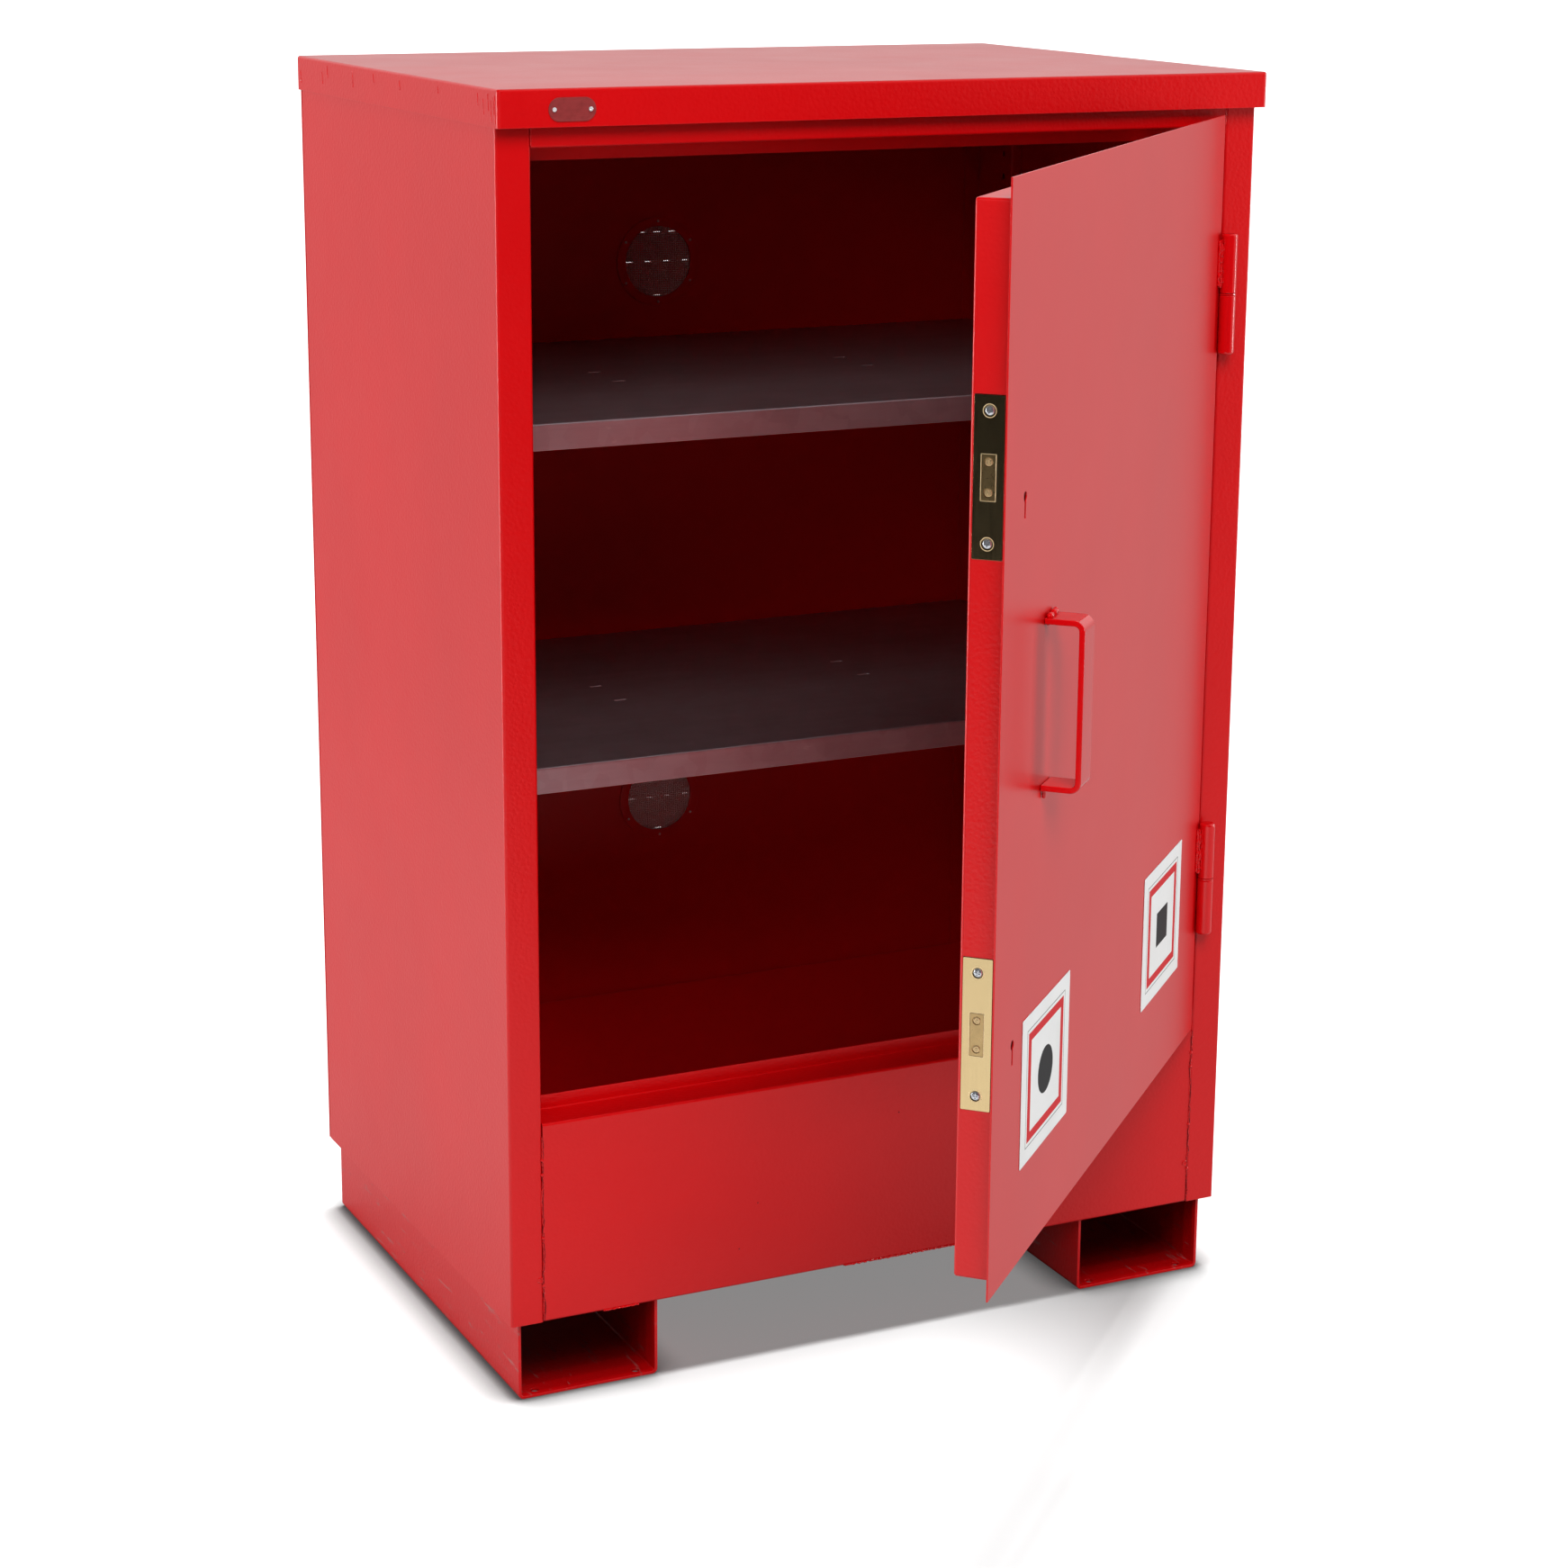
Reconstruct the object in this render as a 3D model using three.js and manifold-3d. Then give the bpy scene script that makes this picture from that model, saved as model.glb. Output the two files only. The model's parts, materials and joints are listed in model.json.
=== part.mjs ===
// Steel storage cabinet for flammable liquids: a welded sheet-metal body on two fork skids,
// two galvanised shelves on clip-in brackets, two gauze vents in the back, and one lift-off door
// with a bar handle and two lever deadlocks.
//
// Millimetres, +Z up, the front of the cabinet faces -Y. Inside the cabinet group, x = 0 is the
// middle of the width, y = 0 is the front face of the body and z = 0 is the floor. The door is
// drawn closed and then turned about its hinge pins to its rest position, part way open.
import * as THREE from 'three';
import { mergeVertices } from 'three/addons/utils/BufferGeometryUtils.js';
import Module from 'manifold-3d';

const wasm = await Module();
wasm.setup();

// ---- driving dimensions -------------------------------------------------------------------

const WIDTH = 790;                 // body, side to side
const DEPTH = 553;                 // body, front face to back face
const HEIGHT = 1250;               // floor to the top of the cap
const SHEET = 1.5;                 // body, door and shelf sheet
const GAP = 0.3;                   // clearance between pieces that touch
const FRONT_SHIFT = -17.6;         // places the frame's origin under the middle of the object

const SKID_HEIGHT = 81;
const SKID_WIDTH = 146;
const SKID_SHEET = 3;
const SKID_CENTRE = 311.3;         // from the middle of the cabinet to the middle of a skid
const SKID_FRONT = 10.5;
const SKID_BACK = 547.5;
const SKID_BOLT = { radius: 4, spacing: 106, inset: 9.5 };

const BODY_BOTTOM = SKID_HEIGHT + GAP;
const BODY_TOP = HEIGHT - SHEET - GAP;
const CAP = { skirt: 34, side: 3, front: 15, back: 1.8, corner: 4 };

const OPENING_HALF = 361.5;        // door opening, middle to jamb
const SUMP_TOP = 283;              // bottom of the door opening
const LINTEL_BOTTOM = 1197;        // top of the door opening
const REBATE_DEPTH = 38;           // front face to the stop that the door closes towards
const REBATE_LIP = 14;             // how far the stop reaches into the opening
const BACK_FLANGE = 20;
const TRAY_WALL = 120;

const BACK_INNER = DEPTH - SHEET;
const SIDE_INNER = WIDTH / 2 - SHEET;

const UPRIGHT = { width: 70, depth: 12, bottom: 299, top: 1222, frontY: 56, rearY: 456 };
const PEG_HOLE = { size: 6, pitch: 25, lowest: 309.5, highest: 1209.5, inset: 17 };
const SHELF_TOPS = { lower: 619.5, upper: 944.5 };
const SHELF = { halfWidth: 379.7, front: 41.5, back: 547, lip: 25, hem: 10 };
const SHELF_SLOT = { length: 14, width: 4, x: [-170, 106], y: [258, 322] };
const CLIP = { width: 20, height: 22, reach: 17, sheet: 2, peg: 4, pegLength: 7, pegDrop: 9.7 };

const VENT_HEIGHTS = { lower: 424.5, upper: 1024.5 };
const VENT = { hole: 40, ringInner: 38, ringOuter: 48, cover: 50, gauze: 39.5, gauzeSheet: 1 };
const VENT_SLOT = { length: 10, height: 2.4 };
const VENT_SLOT_ROWS = [
  { z: 34.8, columns: 3, pitch: 18 },
  { z: 0, columns: 4, pitch: 21.8 },
  { z: -34.8, columns: 1, pitch: 0 },
];

const ID_PLATE = { x: -328, z: 1231.5, length: 45, height: 21, sheet: 0.8, rivet: 17.3 };
const RIVET = { head: 2.1, dome: 1.2, shank: 1.3, length: 1, hole: 1.6 };

const HINGE_AXIS = { x: 364, y: -10.6 };
const HINGE_HEIGHTS = { lower: 438.5, upper: 1036 };
const KNUCKLE = { radius: 8, length: 58, bore: 4, round: 2.5 };
const PIN = { radius: 3.7, below: 54, above: 42 };
const WASHER = { radius: 8, thickness: 1.4 };
const JAMB_WELD = { x: [2.3, 6.5], inset: 4, depth: 5.8 };
const DOOR_WELD = { x: [-9, -2], bottom: 4, top: 6, depth: 3.2 };

const REST_ANGLE = 44.4;           // degrees that the door stands open at rest
const DOOR = { hingeEdge: 363, freeEdge: -372, bottom: 275, top: 1209, face: -2.3 };
const PAN = { hingeEdge: 354, freeEdge: -358.5, bottom: 288, top: 1191.5, back: 32.2 };
const HANDLE = { x: -234, width: 32, bottom: 687.5, top: 836, reach: 35, bar: 5, bend: 9 };
const LABEL = { width: 150, height: 134, sheet: 0.4 };
const LABEL_CENTRES = { free_side: [-210.5, 427.5], hinge_side: [210, 433.5] };

const LOCK_HEIGHTS = { lower: 505, upper: 971 };
const LOCK = { y: 16.2, backset: 44, keyDrop: 25.5, throw: 20 };
const FACEPLATE = { front: -359, width: 25.4, height: 132.6, sheet: 2.5, screw: 53.6 };
const CASE = { depth: 67, height: 92, width: 16, sheet: 1.5, lugHeight: 124, lugSheet: 2 };
const CASE_FRONT = FACEPLATE.sheet + GAP;
const BOLT = { width: 11.6, height: 37, head: 28, tailSheet: 3, tailHeight: 28, tail: 26 };
const STRIKE_PLAY = { y: 2, z: 2.5 };
const CURTAIN = { radius: 6.8, slot: 2.4 };
const KEYHOLE = { radius: 3.4, rise: 4, drop: 14, halfSlot: 1.4 };
const LEVERS = { count: 5, sheet: 1.1, pitch: 1.5, length: 26, height: 42, boss: 4, pivotInset: 9 };
const LEVER_PIVOT = { behindKey: 18, height: 18, fromWall: 4.2 };
const SCREW = { head: 4.1, headHeight: 1.9, shank: 2, length: 9, play: 0.35, proud: 0.6 };
const SCREW_CROSS = { depth: 1.1, halfWidth: 0.5, halfLength: 2.46 };

const ROUND = 24;                  // sides of a visible round piece
const SMALL_ROUND = 12;            // sides of a small round piece
const ARC_STEPS = 3;               // steps round a rounded corner
const HANDLE_ARC_STEPS = 5;        // steps round a bend of the handle's bar
const CHAMFER = 1 - Math.SQRT1_2;  // where the middle of a quarter round lies, as a share of it
const OVERCUT = 1;                 // how far a cutting shape runs past the face that it cuts

// ---- finishes -----------------------------------------------------------------------------

function finish(color, roughness, metalness) {
  return new THREE.MeshStandardMaterial({ color, roughness, metalness });
}

const redPaint = () => finish(0xc40a12, 0.42, 0.1);
const galvanised = () => finish(0x8f8a90, 0.45, 0.8);
const brass = () => finish(0xb08d4c, 0.3, 0.9);
const zinc = () => finish(0xb8babd, 0.3, 0.9);
const darkGauze = () => finish(0x2a2628, 0.7, 0.5);
const steel = () => finish(0x77787a, 0.4, 0.9);
const whiteLabel = () => finish(0xe8e8e6, 0.5, 0.0);

// ---- solids -------------------------------------------------------------------------------

// Turns a closed geometry into a solid that can be cut and joined.
function solidOf(geometry) {
  const bare = geometry.index ? geometry.toNonIndexed() : geometry.clone();
  bare.deleteAttribute('normal');
  bare.deleteAttribute('uv');
  const welded = mergeVertices(bare, 1e-4);
  return new wasm.Manifold(new wasm.Mesh({
    numProp: 3,
    vertProperties: Float32Array.from(welded.getAttribute('position').array),
    triVerts: Uint32Array.from(welded.index.array),
  }));
}

function geometryOf(solid) {
  const mesh = solid.getMesh();
  const geometry = new THREE.BufferGeometry();
  geometry.setAttribute('position', new THREE.BufferAttribute(mesh.vertProperties, 3));
  geometry.setIndex(new THREE.BufferAttribute(mesh.triVerts, 1));
  geometry.computeVertexNormals();
  return geometry;
}

function subtract(geometry, tools) {
  return geometryOf(tools.reduce((solid, tool) => solid.subtract(solidOf(tool)), solidOf(geometry)));
}

function join(geometries) {
  return geometryOf(geometries.map(solidOf).reduce((sum, solid) => sum.add(solid)));
}

// A box between two values on each axis.
function slab([x0, x1], [y0, y1], [z0, z1]) {
  const box = new THREE.BoxGeometry(x1 - x0, y1 - y0, z1 - z0);
  return box.translate((x0 + x1) / 2, (y0 + y1) / 2, (z0 + z1) / 2);
}

function mirrored(side, low, high) {
  return side > 0 ? [low, high] : [-high, -low];
}

function extrude(shape, length, curveSegments = ARC_STEPS) {
  return new THREE.ExtrudeGeometry(shape, { depth: length, bevelEnabled: false, curveSegments });
}

// A YZ profile swept across the width, centred on x = 0.
function extrudeAcross(profile, width, curveSegments) {
  const axes = new THREE.Matrix4().makeBasis(
    new THREE.Vector3(0, 1, 0), new THREE.Vector3(0, 0, 1), new THREE.Vector3(1, 0, 0));
  return extrude(profile, width, curveSegments).translate(0, 0, -width / 2).applyMatrix4(axes);
}

// An XZ profile swept from y = 0 towards the back.
function extrudeBack(profile, depth, curveSegments) {
  return extrude(profile, depth, curveSegments).rotateX(Math.PI / 2).translate(0, depth, 0);
}

// A profile of [radius, height] points turned about the Z axis.
function turned(points, sides = ROUND) {
  const profile = points.map(([radius, height]) => new THREE.Vector2(radius, height));
  return new THREE.LatheGeometry(profile, sides).rotateX(Math.PI / 2);
}

// A round bar along Y from its front face to its back face.
function barAlongY(radius, [y0, y1], [x, z], sides = ROUND) {
  return new THREE.CylinderGeometry(radius, radius, y1 - y0, sides).translate(x, (y0 + y1) / 2, z);
}

// Outline of a folded sheet: the path is its visible face, and the metal lies to its left.
function foldedSheet(path, thickness) {
  const points = path.map(([x, y]) => new THREE.Vector2(x, y));
  const normals = points.slice(1).map((point, i) => {
    const along = point.clone().sub(points[i]).normalize();
    return new THREE.Vector2(-along.y, along.x);
  });
  const inner = points.map((point, i) => {
    const before = normals[Math.max(i - 1, 0)];
    const after = normals[Math.min(i, normals.length - 1)];
    const mitre = before.clone().add(after).divideScalar(1 + before.dot(after));
    return point.clone().addScaledVector(mitre, thickness);
  });
  return [...points, ...inner.reverse()];
}

function roundedRectangle(x0, x1, y0, y1, radius) {
  const shape = new THREE.Shape();
  shape.absarc(x1 - radius, y0 + radius, radius, -Math.PI / 2, 0);
  shape.absarc(x1 - radius, y1 - radius, radius, 0, Math.PI / 2);
  shape.absarc(x0 + radius, y1 - radius, radius, Math.PI / 2, Math.PI);
  shape.absarc(x0 + radius, y0 + radius, radius, Math.PI, 1.5 * Math.PI);
  return shape;
}

// An open-ended tray: a box with one face left open, given as outer and inner slabs.
function tray(outer, inner) {
  return subtract(slab(...outer), [slab(...inner)]);
}

// ---- scene graph --------------------------------------------------------------------------

const storageCabinet = new THREE.Group();
const cabinet = new THREE.Group();
const doorHinge = new THREE.Group();
const door = new THREE.Group();

storageCabinet.add(cabinet);
cabinet.position.y = FRONT_SHIFT;
cabinet.add(doorHinge);
doorHinge.position.set(HINGE_AXIS.x, HINGE_AXIS.y, 0);
doorHinge.rotation.z = THREE.MathUtils.degToRad(REST_ANGLE);
doorHinge.add(door);
door.position.set(-HINGE_AXIS.x, -HINGE_AXIS.y, 0);

function addPart(group, name, geometry, material, position = [0, 0, 0]) {
  const mesh = new THREE.Mesh(geometry, material);
  mesh.name = name;
  mesh.position.set(...position);
  group.add(mesh);
}

// ---- body ---------------------------------------------------------------------------------

// Side wall, front jamb, door return and stop lip folded from one sheet.
function sidePanel(side) {
  const wall = -WIDTH / 2;
  const wallBack = BACK_INNER - GAP;
  const path = [
    [wall + BACK_FLANGE, wallBack],
    [wall, wallBack],
    [wall, 0],
    [-OPENING_HALF, 0],
    [-OPENING_HALF, REBATE_DEPTH],
    [-OPENING_HALF + REBATE_LIP, REBATE_DEPTH],
  ];
  const outline = foldedSheet(path, SHEET).map((point) => new THREE.Vector2(-side * point.x, point.y));
  const panel = extrude(new THREE.Shape(outline), BODY_TOP - BODY_BOTTOM);
  panel.translate(0, 0, BODY_BOTTOM);

  const lipX = mirrored(side, OPENING_HALF - REBATE_LIP - OVERCUT, OPENING_HALF);
  const lipY = [REBATE_DEPTH - OVERCUT, REBATE_DEPTH + SHEET + OVERCUT];
  const cuts = [
    slab(lipX, lipY, [BODY_BOTTOM - OVERCUT, SUMP_TOP + REBATE_LIP + GAP]),
    slab(lipX, lipY, [LINTEL_BOTTOM - REBATE_LIP - GAP, BODY_TOP + OVERCUT]),
  ];
  if (side < 0) {
    cuts.push(...Object.values(LOCK_HEIGHTS).map(strikeSlot));
  }
  return subtract(panel, cuts);
}

// The slot in the jamb's return that a thrown bolt enters.
function strikeSlot(height) {
  const halfWidth = BOLT.width / 2 + STRIKE_PLAY.y;
  const halfHeight = BOLT.height / 2 + STRIKE_PLAY.z;
  return slab(
    [-OPENING_HALF - SHEET - OVERCUT, -OPENING_HALF + OVERCUT],
    [LOCK.y - halfWidth, LOCK.y + halfWidth],
    [height - halfHeight, height + halfHeight]);
}

function lintel() {
  const path = [
    [0, BODY_TOP],
    [0, LINTEL_BOTTOM],
    [REBATE_DEPTH, LINTEL_BOTTOM],
    [REBATE_DEPTH, LINTEL_BOTTOM - REBATE_LIP],
  ];
  return extrudeAcross(new THREE.Shape(foldedSheet(path, SHEET)), 2 * (OPENING_HALF - GAP));
}

function sumpFront() {
  const path = [
    [REBATE_DEPTH, SUMP_TOP + REBATE_LIP],
    [REBATE_DEPTH, SUMP_TOP],
    [0, SUMP_TOP],
    [0, BODY_BOTTOM],
    [REBATE_DEPTH, BODY_BOTTOM],
  ];
  return extrudeAcross(new THREE.Shape(foldedSheet(path, SHEET)), 2 * (OPENING_HALF - GAP));
}

function sumpTray() {
  const halfWidth = SIDE_INNER - GAP;
  const front = REBATE_DEPTH + SHEET + GAP;
  const back = BACK_INNER - SHEET - 2 * GAP;
  const top = BODY_BOTTOM + TRAY_WALL;
  return tray(
    [[-halfWidth, halfWidth], [front, back], [BODY_BOTTOM, top]],
    [
      [-halfWidth + SHEET, halfWidth - SHEET],
      [front + SHEET, back - SHEET],
      [BODY_BOTTOM + SHEET, top + OVERCUT],
    ]);
}

function backPanel() {
  const halfWidth = WIDTH / 2;
  const sheet = slab([-halfWidth, halfWidth], [BACK_INNER, DEPTH], [BODY_BOTTOM, BODY_TOP]);
  const holes = Object.values(VENT_HEIGHTS).map((height) =>
    barAlongY(VENT.hole, [BACK_INNER - OVERCUT, DEPTH + OVERCUT], [0, height]));
  return subtract(sheet, holes);
}

// The lid: a sheet with a folded skirt all round, standing forward of the door.
function topCap() {
  const halfWidth = WIDTH / 2 + CAP.side;
  const back = DEPTH + CAP.back;
  const outline = roundedRectangle(-halfWidth, halfWidth, -CAP.front, back, CAP.corner);
  const lid = extrude(outline, CAP.skirt).translate(0, 0, HEIGHT - CAP.skirt);
  const hollow = slab(
    [-halfWidth + SHEET, halfWidth - SHEET],
    [-CAP.front + SHEET, back - SHEET],
    [HEIGHT - CAP.skirt - OVERCUT, HEIGHT - SHEET]);
  return subtract(lid, [hollow]);
}

// An open channel that a fork tine slides into, with a bolt hole near each corner of its floor.
function skid() {
  const halfWidth = SKID_WIDTH / 2;
  const channel = tray(
    [[-halfWidth, halfWidth], [SKID_FRONT, SKID_BACK], [0, SKID_HEIGHT]],
    [
      [-halfWidth + SKID_SHEET, halfWidth - SKID_SHEET],
      [SKID_FRONT - OVERCUT, SKID_BACK + OVERCUT],
      [SKID_SHEET, SKID_HEIGHT + OVERCUT],
    ]);
  const holes = [];
  for (const x of [-SKID_BOLT.spacing / 2, SKID_BOLT.spacing / 2]) {
    for (const y of [SKID_FRONT + SKID_BOLT.inset, SKID_BACK - SKID_BOLT.inset]) {
      const hole = new THREE.CylinderGeometry(
        SKID_BOLT.radius, SKID_BOLT.radius, 3 * SKID_SHEET, SMALL_ROUND);
      holes.push(hole.rotateX(Math.PI / 2).translate(x, y, SKID_SHEET / 2));
    }
  }
  return subtract(channel, holes);
}

function addBody() {
  addPart(cabinet, 'left_side_panel', sidePanel(-1), redPaint());
  addPart(cabinet, 'right_side_panel', sidePanel(1), redPaint());
  addPart(cabinet, 'back_panel', backPanel(), redPaint());
  addPart(cabinet, 'top_cap', topCap(), redPaint());
  addPart(cabinet, 'lintel', lintel(), redPaint());
  addPart(cabinet, 'sump_front_panel', sumpFront(), redPaint());
  addPart(cabinet, 'sump_tray', sumpTray(), redPaint());
  addPart(cabinet, 'left_skid', skid(), redPaint(), [-SKID_CENTRE, 0, 0]);
  addPart(cabinet, 'right_skid', skid(), redPaint(), [SKID_CENTRE, 0, 0]);
}

// ---- shelving -----------------------------------------------------------------------------

// A shallow channel against the side wall, with a column of square peg holes.
function upright(side, frontY) {
  const wall = SIDE_INNER - GAP;
  const face = wall - UPRIGHT.depth;
  const backY = frontY + UPRIGHT.width;
  const path = [[wall, backY], [face, backY], [face, frontY], [wall, frontY]];
  const outline = foldedSheet(path, SHEET).map((point) => new THREE.Vector2(side * point.x, point.y));
  const channel = extrude(new THREE.Shape(outline), UPRIGHT.top - UPRIGHT.bottom);
  channel.translate(0, 0, UPRIGHT.bottom);

  const half = PEG_HOLE.size / 2;
  const holeY = frontY + PEG_HOLE.inset;
  const holes = [];
  for (let z = PEG_HOLE.lowest; z <= PEG_HOLE.highest; z += PEG_HOLE.pitch) {
    const across = mirrored(side, face - OVERCUT, face + SHEET + OVERCUT);
    holes.push(slab(across, [holeY - half, holeY + half], [z - half, z + half]));
  }
  return subtract(channel, holes);
}

// A bracket whose peg sits in a hole of the upright and whose ledge carries a shelf's edge.
// Its origin is the middle of the ledge's top, on the upright's face.
function shelfClip(side) {
  const halfWidth = CLIP.width / 2;
  const halfPeg = CLIP.peg / 2;
  return join([
    slab(mirrored(side, -CLIP.sheet, 0), [-halfWidth, halfWidth], [-CLIP.height, 0]),
    slab(mirrored(side, -CLIP.reach, 0), [-halfWidth, halfWidth], [-CLIP.sheet, 0]),
    slab(
      mirrored(side, -CLIP.sheet, CLIP.pegLength),
      [-halfPeg, halfPeg],
      [-CLIP.pegDrop - halfPeg, -CLIP.pegDrop + halfPeg]),
  ]);
}

// A pressed shelf with a lip folded down all round and a hem under its front lip.
function shelf() {
  const { halfWidth, front, back, lip, hem } = SHELF;
  const pressed = tray(
    [[-halfWidth, halfWidth], [front, back], [-lip, 0]],
    [
      [-halfWidth + SHEET, halfWidth - SHEET],
      [front + SHEET, back - SHEET],
      [-lip - OVERCUT, -SHEET],
    ]);
  const frontHem = slab(
    [-halfWidth + SHEET / 2, halfWidth - SHEET / 2],
    [front + SHEET / 2, front + hem],
    [-lip, -lip + SHEET]);
  const slots = [];
  for (const x of SHELF_SLOT.x) {
    for (const y of SHELF_SLOT.y) {
      slots.push(slab(
        [x - SHELF_SLOT.length / 2, x + SHELF_SLOT.length / 2],
        [y - SHELF_SLOT.width / 2, y + SHELF_SLOT.width / 2],
        [-SHEET - OVERCUT, OVERCUT]));
    }
  }
  return subtract(join([pressed, frontHem]), slots);
}

function addShelving() {
  const sides = { left: -1, right: 1 };
  const rows = { front: UPRIGHT.frontY, rear: UPRIGHT.rearY };
  const uprightFace = SIDE_INNER - GAP - UPRIGHT.depth;
  for (const [sideName, side] of Object.entries(sides)) {
    for (const [rowName, frontY] of Object.entries(rows)) {
      const corner = `${sideName}_${rowName}`;
      addPart(cabinet, `${corner}_upright`, upright(side, frontY), redPaint());
      for (const [shelfName, top] of Object.entries(SHELF_TOPS)) {
        const ledge = top - SHELF.lip - GAP;
        const place = [side * (uprightFace - GAP), frontY + PEG_HOLE.inset, ledge];
        addPart(cabinet, `${shelfName}_shelf_${corner}_clip`, shelfClip(side), zinc(), place);
      }
    }
  }
  for (const [shelfName, top] of Object.entries(SHELF_TOPS)) {
    addPart(cabinet, `${shelfName}_shelf`, shelf(), galvanised(), [0, 0, top]);
  }
}

// ---- vents and plate ----------------------------------------------------------------------

function ventRing() {
  const ring = new THREE.Shape().absarc(0, 0, VENT.ringOuter, 0, 2 * Math.PI);
  ring.holes.push(new THREE.Path().absarc(0, 0, VENT.ringInner, 0, 2 * Math.PI));
  return extrudeBack(ring, SHEET, ROUND / 2);
}

function ventGauze() {
  return barAlongY(VENT.gauze, [0, VENT.gauzeSheet], [0, 0]);
}

// The outside cover, with rows of short slots that let air through.
function ventCover() {
  const slots = [];
  for (const row of VENT_SLOT_ROWS) {
    for (let column = 0; column < row.columns; column += 1) {
      const x = (column - (row.columns - 1) / 2) * row.pitch;
      slots.push(slab(
        [x - VENT_SLOT.length / 2, x + VENT_SLOT.length / 2],
        [-OVERCUT, SHEET + OVERCUT],
        [row.z - VENT_SLOT.height / 2, row.z + VENT_SLOT.height / 2]));
    }
  }
  return subtract(barAlongY(VENT.cover, [0, SHEET], [0, 0]), slots);
}

function addVents() {
  for (const [name, height] of Object.entries(VENT_HEIGHTS)) {
    const ringFront = BACK_INNER - GAP - SHEET;
    addPart(cabinet, `${name}_vent_ring`, ventRing(), redPaint(), [0, ringFront, height]);
    addPart(cabinet, `${name}_vent_gauze`, ventGauze(), darkGauze(), [0, BACK_INNER + GAP, height]);
    addPart(cabinet, `${name}_vent_cover`, ventCover(), redPaint(), [0, DEPTH + GAP, height]);
  }
}

// An oblong plate riveted to the cap's front skirt. Its origin is the middle of its front face.
function idPlate() {
  const radius = ID_PLATE.height / 2;
  const half = ID_PLATE.length / 2;
  const outline = roundedRectangle(-half, half, -radius, radius, radius - 0.01);
  for (const x of [-ID_PLATE.rivet, ID_PLATE.rivet]) {
    outline.holes.push(new THREE.Path().absarc(x, 0, RIVET.hole, 0, 2 * Math.PI));
  }
  return extrudeBack(outline, ID_PLATE.sheet);
}

// A domed rivet along +Y: its head stands in front of the plate, its shank fills the hole.
function rivet() {
  const { head, dome, shank, length } = RIVET;
  const profile = [
    [0, -dome], [head * (1 - CHAMFER), -dome * (1 - CHAMFER)], [head, -dome * CHAMFER], [head, 0],
    [shank, 0], [shank, length], [0, length],
  ];
  return turned(profile, SMALL_ROUND).rotateX(-Math.PI / 2);
}

function addIdPlate() {
  const plateFront = -CAP.front - GAP - ID_PLATE.sheet;
  addPart(cabinet, 'id_plate', idPlate(), zinc(), [ID_PLATE.x, plateFront, ID_PLATE.z]);
  const rivets = { left: -ID_PLATE.rivet, right: ID_PLATE.rivet };
  for (const [name, offset] of Object.entries(rivets)) {
    const place = [ID_PLATE.x + offset, plateFront - GAP, ID_PLATE.z];
    addPart(cabinet, `id_plate_${name}_rivet`, rivet(), zinc(), place);
  }
}

// ---- hinges -------------------------------------------------------------------------------

// A blind-bored barrel with a rounded closed end. It stands on z = 0 with its bore open upwards.
function barrel() {
  const { radius, length, bore, round } = KNUCKLE;
  return turned([
    [0, 0], [radius - round, 0], [radius - round * CHAMFER, round * CHAMFER], [radius, round],
    [radius, length], [bore, length], [bore, round], [0, round],
  ]);
}

// The bore as a solid, so that it can also be cleared of the weld.
function knuckleBore(rise) {
  const bore = new THREE.CylinderGeometry(KNUCKLE.bore, KNUCKLE.bore, KNUCKLE.length, ROUND);
  return bore.rotateX(Math.PI / 2).translate(0, 0, KNUCKLE.length / 2 + rise);
}

// The fixed half: its weld runs down the jamb, clear of the door sheet.
function jambKnuckle() {
  const jambFace = -HINGE_AXIS.y - GAP;
  const weld = slab(
    JAMB_WELD.x, [jambFace - JAMB_WELD.depth, jambFace],
    [JAMB_WELD.inset, KNUCKLE.length - JAMB_WELD.inset]);
  return subtract(join([barrel(), weld]), [knuckleBore(KNUCKLE.round)]);
}

// The moving half, bore downwards: its weld runs down the outside of the door sheet.
function doorKnuckle() {
  const sheetFace = DOOR.face - HINGE_AXIS.y - GAP;
  const weld = slab(
    DOOR_WELD.x, [sheetFace - DOOR_WELD.depth, sheetFace],
    [DOOR_WELD.bottom, KNUCKLE.length - DOOR_WELD.top]);
  const body = barrel().rotateX(Math.PI).translate(0, 0, KNUCKLE.length);
  return subtract(join([body, weld]), [knuckleBore(-KNUCKLE.round)]);
}

function hingePin() {
  const { radius, below, above } = PIN;
  const profile = [[0, -below], [radius, -below], [radius, above - 1], [radius - 1, above], [0, above]];
  return turned(profile, SMALL_ROUND);
}

function hingeWasher() {
  const half = WASHER.thickness / 2;
  const { radius } = WASHER;
  const bore = KNUCKLE.bore;
  return turned([[bore, -half], [radius, -half], [radius, half], [bore, half], [bore, -half]], ROUND);
}

function addHinges() {
  const halfGap = WASHER.thickness / 2 + GAP;
  for (const [name, height] of Object.entries(HINGE_HEIGHTS)) {
    const { x, y } = HINGE_AXIS;
    const jambBottom = height - halfGap - KNUCKLE.length;
    addPart(cabinet, `${name}_hinge_jamb_knuckle`, jambKnuckle(), redPaint(), [x, y, jambBottom]);
    addPart(cabinet, `${name}_hinge_pin`, hingePin(), steel(), [x, y, height]);
    addPart(cabinet, `${name}_hinge_washer`, hingeWasher(), brass(), [x, y, height]);
    addPart(door, `${name}_hinge_door_knuckle`, doorKnuckle(), redPaint(), [x, y, height + halfGap]);
  }
}

// ---- door ---------------------------------------------------------------------------------

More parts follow.
